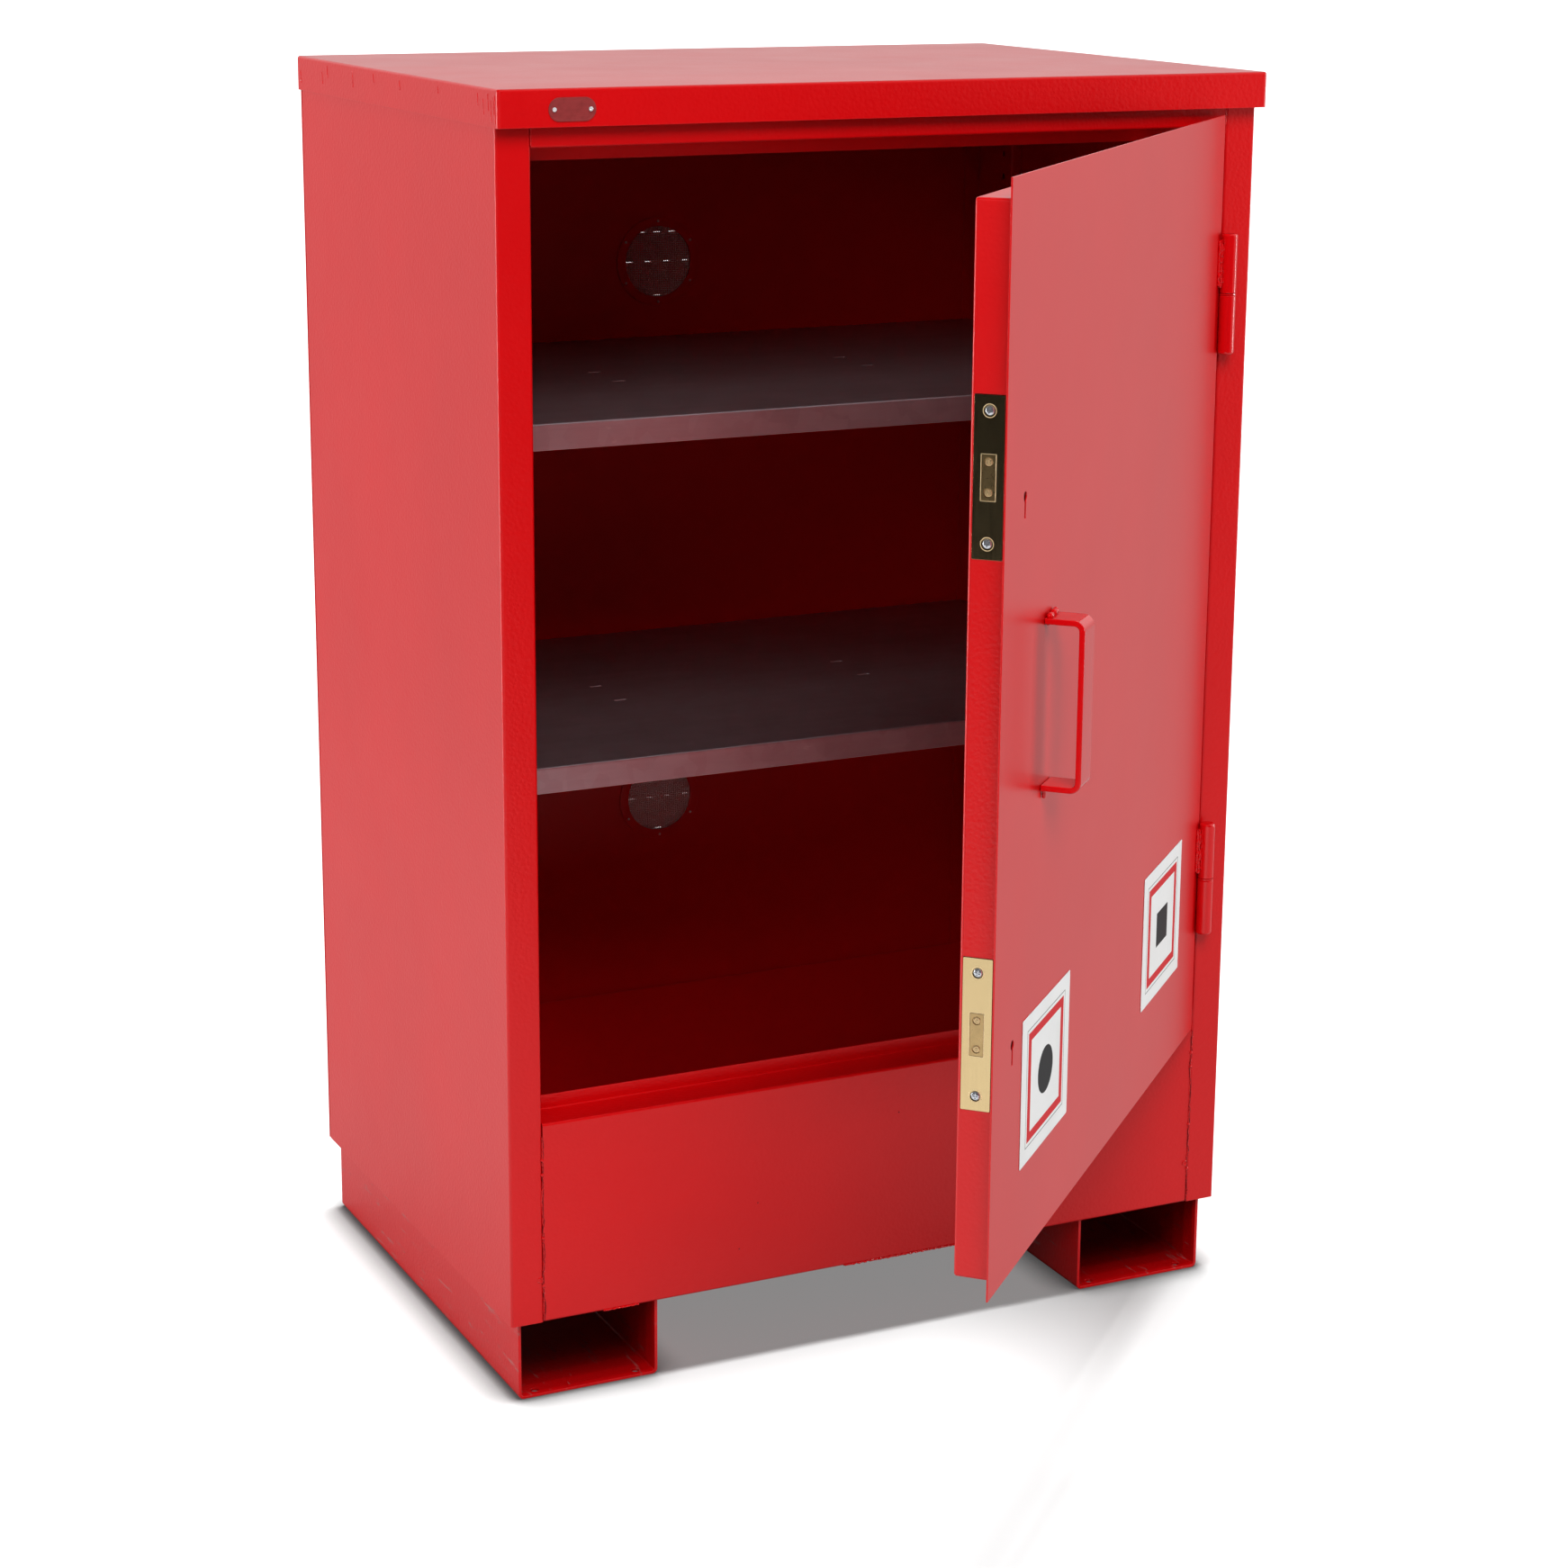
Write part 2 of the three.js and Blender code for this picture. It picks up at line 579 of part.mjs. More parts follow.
// A round hole over a narrow slot, placed by the middle of the key's drum.
function keyholeOutline(x, z) {
  const { radius, rise, drop, halfSlot } = KEYHOLE;
  const mouth = Math.asin(halfSlot / radius);
  const outline = new THREE.Shape();
  outline.absarc(x, z + rise, radius, mouth - Math.PI / 2, 1.5 * Math.PI - mouth);
  outline.lineTo(x - halfSlot, z - drop);
  outline.lineTo(x + halfSlot, z - drop);
  return outline;
}

function doorSheet() {
  const sheet = slab(
    [DOOR.freeEdge, DOOR.hingeEdge],
    [DOOR.face, DOOR.face + SHEET],
    [DOOR.bottom, DOOR.top]);
  const keyholes = Object.values(LOCK_HEIGHTS).map((height) => {
    const outline = keyholeOutline(FACEPLATE.front + LOCK.backset, height - LOCK.keyDrop);
    return extrudeBack(outline, SHEET + 2 * OVERCUT).translate(0, DOOR.face - OVERCUT, 0);
  });
  return subtract(sheet, keyholes);
}

// The tray behind the outer sheet that stiffens the door and carries the locks.
function doorPan() {
  const front = DOOR.face + SHEET + GAP;
  const pan = tray(
    [[PAN.freeEdge, PAN.hingeEdge], [front, PAN.back], [PAN.bottom, PAN.top]],
    [
      [PAN.freeEdge + SHEET, PAN.hingeEdge - SHEET],
      [front - OVERCUT, PAN.back - SHEET],
      [PAN.bottom + SHEET, PAN.top - SHEET],
    ]);
  const lockWindows = Object.values(LOCK_HEIGHTS).map((height) => slab(
    [PAN.freeEdge - OVERCUT, PAN.freeEdge + SHEET + OVERCUT],
    [LOCK.y - FACEPLATE.width / 2 - GAP, LOCK.y + FACEPLATE.width / 2 + GAP],
    [height - FACEPLATE.height / 2 - GAP, height + FACEPLATE.height / 2 + GAP]));
  return subtract(pan, lockWindows);
}

// A flat bar bent twice and welded to the outer sheet by its two ends.
function doorHandle() {
  const root = DOOR.face - GAP;
  const grip = root - HANDLE.reach;
  const outer = roundedRectangle(grip, root + HANDLE.bend, HANDLE.bottom, HANDLE.top, HANDLE.bend);
  const inner = roundedRectangle(
    grip + HANDLE.bar, root + 2 * HANDLE.bend,
    HANDLE.bottom + HANDLE.bar, HANDLE.top - HANDLE.bar, HANDLE.bend - HANDLE.bar);
  const cutWidth = HANDLE.width + 2 * OVERCUT;
  const behind = slab(
    [-cutWidth, cutWidth], [root, root + 3 * HANDLE.bend],
    [HANDLE.bottom - OVERCUT, HANDLE.top + OVERCUT]);
  const block = extrudeAcross(outer, HANDLE.width, HANDLE_ARC_STEPS);
  const fingerGap = extrudeAcross(inner, cutWidth, HANDLE_ARC_STEPS);
  return subtract(block, [fingerGap, behind]).translate(HANDLE.x, 0, 0);
}

function addDoor() {
  addPart(door, 'door_outer_sheet', doorSheet(), redPaint());
  addPart(door, 'door_inner_pan', doorPan(), redPaint());
  addPart(door, 'door_handle', doorHandle(), redPaint());
  for (const [name, [x, z]] of Object.entries(LABEL_CENTRES)) {
    const label = new THREE.BoxGeometry(LABEL.width, LABEL.sheet, LABEL.height);
    const y = DOOR.face - GAP - LABEL.sheet / 2;
    addPart(door, `${name}_label`, label, whiteLabel(), [x, y, z]);
  }
}

// ---- locks --------------------------------------------------------------------------------
// Each lock is drawn about the middle of its faceplate's front face: x runs from the faceplate
// into the door, y through the door and z up.

function lockFaceplate() {
  const half = FACEPLATE.width / 2;
  const plate = slab(
    [0, FACEPLATE.sheet], [-half, half], [-FACEPLATE.height / 2, FACEPLATE.height / 2]);
  const cuts = [boltWindow()];
  for (const z of [-FACEPLATE.screw, FACEPLATE.screw]) {
    cuts.push(barAlongX(SCREW.shank + SCREW.play, [-OVERCUT, FACEPLATE.sheet + OVERCUT], z));
    cuts.push(barAlongX(SCREW.head + SCREW.play, [-OVERCUT, SCREW.headHeight - GAP], z));
  }
  return subtract(plate, cuts);
}

function barAlongX(radius, [x0, x1], z) {
  const bar = new THREE.CylinderGeometry(radius, radius, x1 - x0, SMALL_ROUND);
  return bar.rotateZ(Math.PI / 2).translate((x0 + x1) / 2, 0, z);
}

function boltWindow() {
  const halfWidth = BOLT.width / 2 + GAP;
  const halfHeight = BOLT.height / 2 + GAP;
  return slab(
    [-OVERCUT, CASE_FRONT + CASE.lugSheet + CASE.sheet + OVERCUT],
    [-halfWidth, halfWidth],
    [-halfHeight, halfHeight]);
}

// The box that holds the works, hollow, with a lug above and below for the screws.
function lockCase() {
  const half = CASE.width / 2;
  const back = CASE_FRONT + CASE.depth;
  const box = slab([CASE_FRONT, back], [-half, half], [-CASE.height / 2, CASE.height / 2]);
  const lugs = slab(
    [CASE_FRONT, CASE_FRONT + CASE.lugSheet], [-half, half],
    [-CASE.lugHeight / 2, CASE.lugHeight / 2]);
  const hollow = slab(
    [CASE_FRONT + CASE.lugSheet, back - CASE.sheet],
    [-half + CASE.sheet, half - CASE.sheet],
    [-CASE.height / 2 + CASE.sheet, CASE.height / 2 - CASE.sheet]);
  const keyhole = extrudeBack(keyholeOutline(LOCK.backset, -LOCK.keyDrop), CASE.width + 2 * OVERCUT);
  keyhole.translate(0, -half - OVERCUT, 0);
  const lugDepth = [CASE_FRONT - OVERCUT, CASE_FRONT + CASE.lugSheet + OVERCUT];
  const screwHoles = [-FACEPLATE.screw, FACEPLATE.screw].map((z) =>
    barAlongX(SCREW.shank + SCREW.play, lugDepth, z));
  return subtract(join([box, lugs]), [hollow, keyhole, boltWindow(), ...screwHoles]);
}

// The bolt: a solid head that fills the window and a thin tail that the key drives.
function lockBolt() {
  const tailEnd = BOLT.head + BOLT.tail;
  const halfTail = BOLT.tailHeight / 2;
  const tailY = -CASE.width / 2 + CASE.sheet + GAP;
  return join([
    slab([0, BOLT.head], [-BOLT.width / 2, BOLT.width / 2], [-BOLT.height / 2, BOLT.height / 2]),
    slab([BOLT.head - OVERCUT, tailEnd], [tailY, tailY + BOLT.tailSheet], [-halfTail, halfTail]),
  ]);
}

// A stack of thin levers on one boss. Its origin is the middle of the boss.
function lockLevers() {
  const half = LEVERS.length / 2;
  const inset = LEVERS.pivotInset;
  const plate = roundedRectangle(-half - inset, half - inset, inset - LEVERS.height, inset, LEVERS.boss);
  const span = (LEVERS.count - 1) * LEVERS.pitch + LEVERS.sheet;
  const plates = Array.from({ length: LEVERS.count }, (_, index) =>
    extrudeBack(plate, LEVERS.sheet, 2).translate(0, index * LEVERS.pitch - span / 2, 0));
  const boss = barAlongY(LEVERS.boss, [-span / 2, span / 2], [0, 0], SMALL_ROUND);
  return join([boss, ...plates]);
}

// The turning drum round the key, slotted from its middle for the key's blade.
function keyCurtain() {
  const half = CASE.width / 2 - CASE.sheet - GAP;
  const drum = barAlongY(CURTAIN.radius, [-half, half], [0, 0], SMALL_ROUND);
  const slot = slab(
    [-CURTAIN.slot / 2, CURTAIN.slot / 2],
    [-half - OVERCUT, half + OVERCUT],
    [-CURTAIN.radius - OVERCUT, CURTAIN.slot / 2]);
  return subtract(drum, [slot]);
}

// A countersunk screw along +X with a cross recess, its head just proud of the faceplate.
function lockScrew() {
  const head = barAlongX(SCREW.head, [0, SCREW.headHeight], 0);
  const shank = barAlongX(SCREW.shank, [SCREW_CROSS.depth, SCREW.length], 0);
  const { depth, halfWidth, halfLength } = SCREW_CROSS;
  const recess = [
    slab([-OVERCUT, depth], [-halfLength, halfLength], [-halfWidth, halfWidth]),
    slab([-OVERCUT, depth], [-halfWidth, halfWidth], [-halfLength, halfLength]),
  ];
  return subtract(join([head, shank]), recess);
}

function addLock(name, height) {
  const lock = new THREE.Group();
  lock.position.set(FACEPLATE.front, LOCK.y, height);
  door.add(lock);
  const leverX = LOCK.backset + LEVER_PIVOT.behindKey;
  const leverY = CASE.width / 2 - CASE.sheet - LEVER_PIVOT.fromWall;
  addPart(lock, `${name}_lock_faceplate`, lockFaceplate(), brass());
  addPart(lock, `${name}_lock_case`, lockCase(), steel());
  addPart(lock, `${name}_lock_bolt`, lockBolt(), brass());
  addPart(lock, `${name}_lock_levers`, lockLevers(), brass(), [leverX, leverY, LEVER_PIVOT.height]);
  addPart(lock, `${name}_lock_key_curtain`, keyCurtain(), steel(), [LOCK.backset, 0, -LOCK.keyDrop]);
  const screws = { top: FACEPLATE.screw, bottom: -FACEPLATE.screw };
  for (const [end, z] of Object.entries(screws)) {
    addPart(lock, `${name}_lock_${end}_screw`, lockScrew(), zinc(), [-SCREW.proud, 0, z]);
  }
}

// ---- assembly -----------------------------------------------------------------------------

addBody();
addShelving();
addVents();
addIdPlate();
addHinges();
addDoor();
for (const [name, height] of Object.entries(LOCK_HEIGHTS)) {
  addLock(name, height);
}

export default storageCabinet;
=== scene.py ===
"""Looks of the storage cabinet: refined sheet metal, welds, locks, materials, lights and camera.

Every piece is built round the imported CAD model, in metres. Pieces of the body are drawn where they
stand. Pieces of the door are drawn with the door shut and then turned to where it stands open.
"""
import json
from math import asin, cos, degrees, pi, radians, sin, sqrt

import bmesh
import bpy
from mathutils import Matrix, Vector, noise


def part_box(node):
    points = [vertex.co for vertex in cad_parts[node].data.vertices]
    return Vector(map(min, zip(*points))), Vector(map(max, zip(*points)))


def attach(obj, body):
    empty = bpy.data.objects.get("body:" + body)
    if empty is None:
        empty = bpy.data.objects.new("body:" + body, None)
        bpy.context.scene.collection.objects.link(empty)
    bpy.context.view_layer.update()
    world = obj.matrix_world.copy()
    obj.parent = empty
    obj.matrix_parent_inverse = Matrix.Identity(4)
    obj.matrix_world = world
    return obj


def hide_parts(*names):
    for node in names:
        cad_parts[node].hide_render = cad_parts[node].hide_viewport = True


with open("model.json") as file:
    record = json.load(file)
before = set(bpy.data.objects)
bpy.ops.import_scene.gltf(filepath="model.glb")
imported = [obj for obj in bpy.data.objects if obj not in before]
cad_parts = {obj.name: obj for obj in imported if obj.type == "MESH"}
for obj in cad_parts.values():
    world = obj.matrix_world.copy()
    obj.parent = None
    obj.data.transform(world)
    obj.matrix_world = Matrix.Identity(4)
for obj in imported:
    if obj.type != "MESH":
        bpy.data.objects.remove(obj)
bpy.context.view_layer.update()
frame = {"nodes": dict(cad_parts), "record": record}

MM = 0.001
SHEET = 1.5 * MM  # body, door and shelf sheet
GAP = 0.3 * MM  # clearance that the CAD leaves between touching pieces
BEND = 1.2 * MM  # inside radius of a fold in the sheet
CUT_EDGE = 0.25 * MM  # rounding left by the paint on a cut edge
CABINET, DOOR = "cabinet", "door"
LEVELS = ("upper", "lower")  # of the locks, hinges, vents and shelves

# ---- the door's closed space ----

HINGE = next(j for j in frame["record"]["behaviour"]["joints"] if j["name"] == "door_hinge")
HINGE_POINT = Vector(HINGE["pos_m"])
REST_ANGLE = -radians(HINGE["range_deg"][0])
IN_PLACE = Matrix.Identity(4)
AS_DOOR_STANDS = (Matrix.Translation(HINGE_POINT) @ Matrix.Rotation(REST_ANGLE, 4, "Z")
                  @ Matrix.Translation(-HINGE_POINT))


def closed_box(node):
    """The lowest and highest corners of a door node with the door shut."""
    shut = AS_DOOR_STANDS.inverted()
    points = [shut @ vertex.co for vertex in frame["nodes"][node].data.vertices]
    low = Vector([min(p[i] for p in points) for i in range(3)])
    high = Vector([max(p[i] for p in points) for i in range(3)])
    return low, high


def in_scene(data):
    """A new object in the scene for a mesh, a light or a camera."""
    obj = bpy.data.objects.new(data.name, data)
    bpy.context.scene.collection.objects.link(obj)
    return obj


# ---- camera ----

IMAGE_SIDE = 1742
SENSOR = 36.0
VIEW = {"azimuth": 25.70, "elevation": 13.96, "roll": 0.39, "focal_px": 3755.3, "shift": -0.05}
CAMERA_POINT = Vector((-1.4617, -2.8257, 1.4407))


def add_camera():
    azimuth, elevation, roll = (radians(VIEW[k]) for k in ("azimuth", "elevation", "roll"))
    forward = Vector((sin(azimuth) * cos(elevation),
                      cos(azimuth) * cos(elevation), -sin(elevation)))
    level = Vector((cos(azimuth), -sin(azimuth), 0))
    upright = level.cross(forward)
    right = level * cos(roll) + upright * sin(roll)
    up = upright * cos(roll) - level * sin(roll)
    data = bpy.data.cameras.new("camera")
    data.sensor_width = SENSOR
    data.lens = VIEW["focal_px"] / IMAGE_SIDE * SENSOR
    data.shift_y = VIEW["shift"]
    data.clip_end = 100
    camera = in_scene(data)
    turn = Matrix((right, up, -forward)).transposed()
    camera.matrix_world = Matrix.Translation(CAMERA_POINT) @ turn.to_4x4()
    bpy.context.scene.camera = camera


# ---- mesh making ----

PLACE = {
    "X": lambda u, v, w: (w, u, v),
    "Y": lambda u, v, w: (u, w, v),
    "Z": lambda u, v, w: (u, v, w),
}


def in_mm(*points):
    """Points given in millimetres, in metres."""
    return [tuple(number * MM for number in point) for point in points]


def prism(outline, axis, low, high):
    """A flat outline swept along an axis. The outline's own axes are the other two, in order."""
    shape = bmesh.new()
    ends = [[shape.verts.new(PLACE[axis](u, v, w)) for u, v in outline] for w in (low, high)]
    for end in ends:
        shape.faces.new(end)
    for k in range(len(outline)):
        after = (k + 1) % len(outline)
        shape.faces.new((ends[0][k], ends[0][after], ends[1][after], ends[1][k]))
    bmesh.ops.recalc_face_normals(shape, faces=shape.faces)
    return shape


def punch(outline, axis, low, high):
    """A cutter for the metal between low and high, standing out a little on both sides."""
    return prism(outline, axis, low - MM, high + MM)


def block(low, high):
    corners = [(low[0], low[1]), (high[0], low[1]), (high[0], high[1]), (low[0], high[1])]
    return prism(corners, "Z", low[2], high[2])


def arc(centre, radius, start, stop, steps=8):
    """Points on an arc, with its angles in degrees."""
    angles = [radians(start + (stop - start) * k / steps) for k in range(steps + 1)]
    return [(centre[0] + radius * cos(a), centre[1] + radius * sin(a)) for a in angles]


def circle(centre, radius, steps=48):
    return arc(centre, radius, 0, 360, steps)[:-1]


def rounded_rectangle(u0, u1, v0, v1, radius, steps=6):
    r = radius
    return (arc((u1 - r, v0 + r), r, -90, 0, steps) + arc((u1 - r, v1 - r), r, 0, 90, steps)
            + arc((u0 + r, v1 - r), r, 90, 180, steps) + arc((u0 + r, v0 + r), r, 180, 270, steps))


def box_outline(low, high, axis, radius, steps=6, inset=0.0):
    """The outline of a box seen along an axis."""
    u, v = (i for i in range(3) if "XYZ"[i] != axis)
    return rounded_rectangle(low[u] + inset, high[u] - inset, low[v] + inset, high[v] - inset,
                             radius, steps)


def rectangle_about(u, v, half_u, half_v, radius, steps=6):
    return rounded_rectangle(u - half_u, u + half_u, v - half_v, v + half_v, radius, steps)


def resized(outline, middle, part_y, part_z=1.0):
    """An outline standing across X, drawn in or out about a middle point."""
    return [(middle.y + (y - middle.y) * part_y, middle.z + (z - middle.z) * part_z)
            for y, z in outline]


def folded(path, thickness=SHEET, inside=BEND, steps=5):
    """Outline of a sheet folded along a path, with round bends. The metal is left of the path."""
    points = [Vector(p) for p in path]
    headings = [(b - a).normalized() for a, b in zip(points, points[1:])]
    normals = [Vector((-h.y, h.x)) for h in headings]
    face, back = [points[0]], [points[0] + normals[0] * thickness]
    for k, corner in enumerate(points[1:-1]):
        n0, n1 = normals[k], normals[k + 1]
        left_turn = headings[k].cross(headings[k + 1]) > 0
        side = 1 if left_turn else -1
        radius = inside + (thickness if left_turn else 0)
        middle = (n0 + n1).normalized()
        centre = corner + middle * side * radius / middle.dot(n0)
        for step in range(steps + 1):
            n = n0.slerp(n1, step / steps)
            face.append(centre - n * side * radius)
            back.append(face[-1] + n * thickness)
    face.append(points[-1])
    back.append(points[-1] + normals[-1] * thickness)
    return [tuple(p) for p in face + back[::-1]]


def lathe(profile, axis, centre, steps=40):
    """A profile of (radius, height) points turned about an axis through centre."""
    shape = bmesh.new()
    place = PLACE[axis]
    rings = []
    for k in range(steps):
        a = 2 * pi * k / steps
        rings.append([shape.verts.new(Vector(place(r * cos(a), r * sin(a), h)) + centre)
                      for r, h in profile])
    for k in range(steps):
        ring, after = rings[k], rings[(k + 1) % steps]
        for i in range(len(profile) - 1):
            shape.faces.new((ring[i], ring[i + 1], after[i + 1], after[i]))
    bmesh.ops.remove_doubles(shape, verts=shape.verts, dist=1e-7)
    bmesh.ops.dissolve_degenerate(shape, edges=shape.edges, dist=1e-8)
    bmesh.ops.recalc_face_normals(shape, faces=shape.faces)
    return shape


def bead(path, radius, seed=0.0, ripple=0.18, wander=0.12, sides=10):
    """A weld bead: a rippled, slightly wandering tube with tapered ends."""
    points = [Vector(p) for p in path]
    lengths = [0.0]
    for a, b in zip(points, points[1:]):
        lengths.append(lengths[-1] + (b - a).length)
    total = lengths[-1]
    count = max(6, int(total / (radius * 0.45)))
    shape = bmesh.new()
    rings = []
    for k in range(count + 1):
        s = total * k / count
        i = max(j for j in range(len(points) - 1) if lengths[j] <= s + 1e-12)
        along = (points[i + 1] - points[i]).normalized()
        here = points[i] + along * (s - lengths[i])
        side = along.orthogonal().normalized()
        other = along.cross(side)
        near_end = min(s, total - s) / (1.4 * radius)
        taper = sqrt(max(0.02, 1 - (1 - min(near_end, 1)) ** 2))
        wave = abs(sin(pi * s / (1.5 * radius) + seed))
        lump = noise.noise(Vector((s / radius * 0.6, seed, 0)))
        size = radius * taper * (1 - ripple + ripple * wave + 0.3 * lump)
        drift = radius * wander
        here = here + side * drift * noise.noise(Vector((s / radius * 0.4, seed + 9, 0)))
        here = here + other * drift * noise.noise(Vector((s / radius * 0.4, seed + 17, 0)))
        rings.append([shape.verts.new(here + (side * cos(a) + other * sin(a)) * size)
                      for a in (2 * pi * j / sides for j in range(sides))])
    close_tube(shape, rings)
    return shape


def close_tube(shape, rings):
    """Skins a row of rings and closes both ends."""
    sides = len(rings[0])
    for ring, after in zip(rings, rings[1:]):
        for j in range(sides):
            shape.faces.new((ring[j], ring[(j + 1) % sides], after[(j + 1) % sides], after[j]))
    shape.faces.new(rings[0])
    shape.faces.new(rings[-1])
    bmesh.ops.recalc_face_normals(shape, faces=shape.faces)


def merged(*shapes):
    """One bmesh holding all the given ones."""
    whole = bmesh.new()
    for shape in shapes:
        part = bpy.data.meshes.new("part")
        shape.to_mesh(part)
        shape.free()
        whole.from_mesh(part)
        bpy.data.meshes.remove(part)
    return whole


def moved(shape, matrix):
    bmesh.ops.transform(shape, matrix=matrix, verts=shape.verts)
    if matrix.determinant() < 0:
        bmesh.ops.reverse_faces(shape, faces=shape.faces)
    return shape


def round_edges(shape, chosen, radius, steps=4):
    """Rounds the edges of a bmesh that the test picks by their two ends."""
    edges = [e for e in shape.edges if chosen(*(v.co for v in e.verts))]
    bmesh.ops.bevel(shape, geom=edges, offset=radius, offset_type="OFFSET", segments=steps,
                    profile=0.5, affect="EDGES", clamp_overlap=False)
    return shape


def as_object(shape, name="shape"):
    """A bmesh as an object in the scene. An object is given back as it is."""
    if isinstance(shape, bpy.types.Object):
        return shape
    mesh = bpy.data.meshes.new(name)
    shape.to_mesh(mesh)
    shape.free()
    return in_scene(mesh)


def cut(shape, *tools, operation="DIFFERENCE"):
    """Cuts bmesh tools out of a shape, or joins them to it, and gives the result as an object."""
    obj = as_object(shape)
    cutters = [as_object(tool, "cutter") for tool in tools]
    for cutter in cutters:
        modifier = obj.modifiers.new("cut", "BOOLEAN")
        modifier.object = cutter
        modifier.operation = operation
        modifier.solver = "EXACT"
    bpy.context.view_layer.update()
    evaluated = obj.evaluated_get(bpy.context.evaluated_depsgraph_get())
    result = bpy.data.meshes.new_from_object(evaluated)
    obj.modifiers.clear()
    obj.data = result
    for cutter in cutters:
        bpy.data.objects.remove(cutter)
    return obj


def cad_shape(node, space=IN_PLACE):
    """A CAD node's own shape, with its flat faces whole again."""
    shape = bmesh.new()
    shape.from_mesh(frame["nodes"][node].data)
    bmesh.ops.remove_doubles(shape, verts=shape.verts, dist=1e-6)
    bmesh.ops.dissolve_limit(shape, angle_limit=radians(0.5), verts=shape.verts,
                             edges=shape.edges)
    return moved(shape, space.inverted())


SHARP = radians(42)  # angle from which an edge is rounded


def coat(obj, material):
    obj.data.materials.clear()
    obj.data.materials.append(material)


def add_piece(name, shape, finish, replaces=(), body=CABINET, space=IN_PLACE, edge=CUT_EDGE,
              edge_steps=2):
    """Names, finishes and places one piece, and lets it ride on its body."""
    material, slot = finish
    obj = as_object(shape)
    obj.name = obj.data.name = name
    coat(obj, material)
    obj.data.polygons.foreach_set("use_smooth", [True] * len(obj.data.polygons))
    if edge:
        bevel = obj.modifiers.new("edges", "BEVEL")
        bevel.width = edge
        bevel.segments = edge_steps
        bevel.limit_method = "ANGLE"
        bevel.angle_limit = SHARP
    weighted = obj.modifiers.new("normals", "WEIGHTED_NORMAL")
    weighted.keep_sharp = True
    obj.matrix_world = space
    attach(obj, body)
    if replaces:
        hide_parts(*replaces)


def add_door_piece(name, shape, finish, replaces=(), body=DOOR, **edges):
    """A piece drawn with the door shut."""
    add_piece(name, shape, finish, replaces, body, AS_DOOR_STANDS, **edges)


def stand_in(node, what, shape, finish, **edges):
    """The piece that stands for one CAD node of the body."""
    add_piece(f"{node}_{what}", shape, finish, [node], **edges)


def door_stand_in(node, what, shape, finish, body=DOOR, **edges):
    add_door_piece(f"{node}_{what}", shape, finish, [node], body, **edges)


# ---- materials ----

class Nodes:
    """A node tree, with short calls for the nodes used here."""

    def __init__(self, owner):
        owner.use_nodes = True
        self.tree = owner.node_tree

    def add(self, kind, options=(), **inputs):
        node = self.tree.nodes.new("ShaderNode" + kind)
        for key, value in dict(options).items():
            setattr(node, key, value)
        for key, value in inputs.items():
            self.feed(node.inputs[key.replace("_", " ")], value)
        return node

    def feed(self, socket, value):
        if isinstance(value, bpy.types.NodeSocket):
            self.tree.links.new(value, socket)
        else:
            socket.default_value = value

    def remap(self, value, low, high, to_low, to_high, curve="LINEAR"):
        node = self.add("MapRange", {"interpolation_type": curve}, Value=value)
        for key, number in (("From Min", low), ("From Max", high),
                            ("To Min", to_low), ("To Max", to_high)):
            node.inputs[key].default_value = number
        return node.outputs["Result"]

    def spread(self, value, to_low, to_high):
        """The middle range of a noise, where nearly all of it lies, mapped to the given one."""
        return self.remap(value, 0.3, 0.7, to_low, to_high)

    def math(self, operation, a, b=0.0, kind="Math"):
        node = self.add(kind, {"operation": operation})
        self.feed(node.inputs[0], a)
        self.feed(node.inputs[1], b)
        return node.outputs["Value"]

    def times(self, a, b):
        return self.math("MULTIPLY", a, b)

    def plus(self, a, b):
        return self.math("ADD", a, b)

    def dot(self, a, b):
        return self.math("DOT_PRODUCT", a, b, "VectorMath")

    def mix(self, factor, a, b, blend="MIX"):
        node = self.add("Mix", {"data_type": "RGBA", "blend_type": blend})
        self.feed(node.inputs[0], factor)
        self.feed(node.inputs[6], a if isinstance(a, bpy.types.NodeSocket) else (*a, 1))
        self.feed(node.inputs[7], b if isinstance(b, bpy.types.NodeSocket) else (*b, 1))
        return node.outputs[2]

    def vary(self, value, a, b):
        return self.mix(self.spread(value, 0, 1), a, b)

    def grey(self, level):
        return self.add("CombineColor", Red=level, Green=level, Blue=level).outputs[0]

    def dimmed(self, colour, level):
        return self.mix(1.0, colour, self.grey(level), "MULTIPLY")


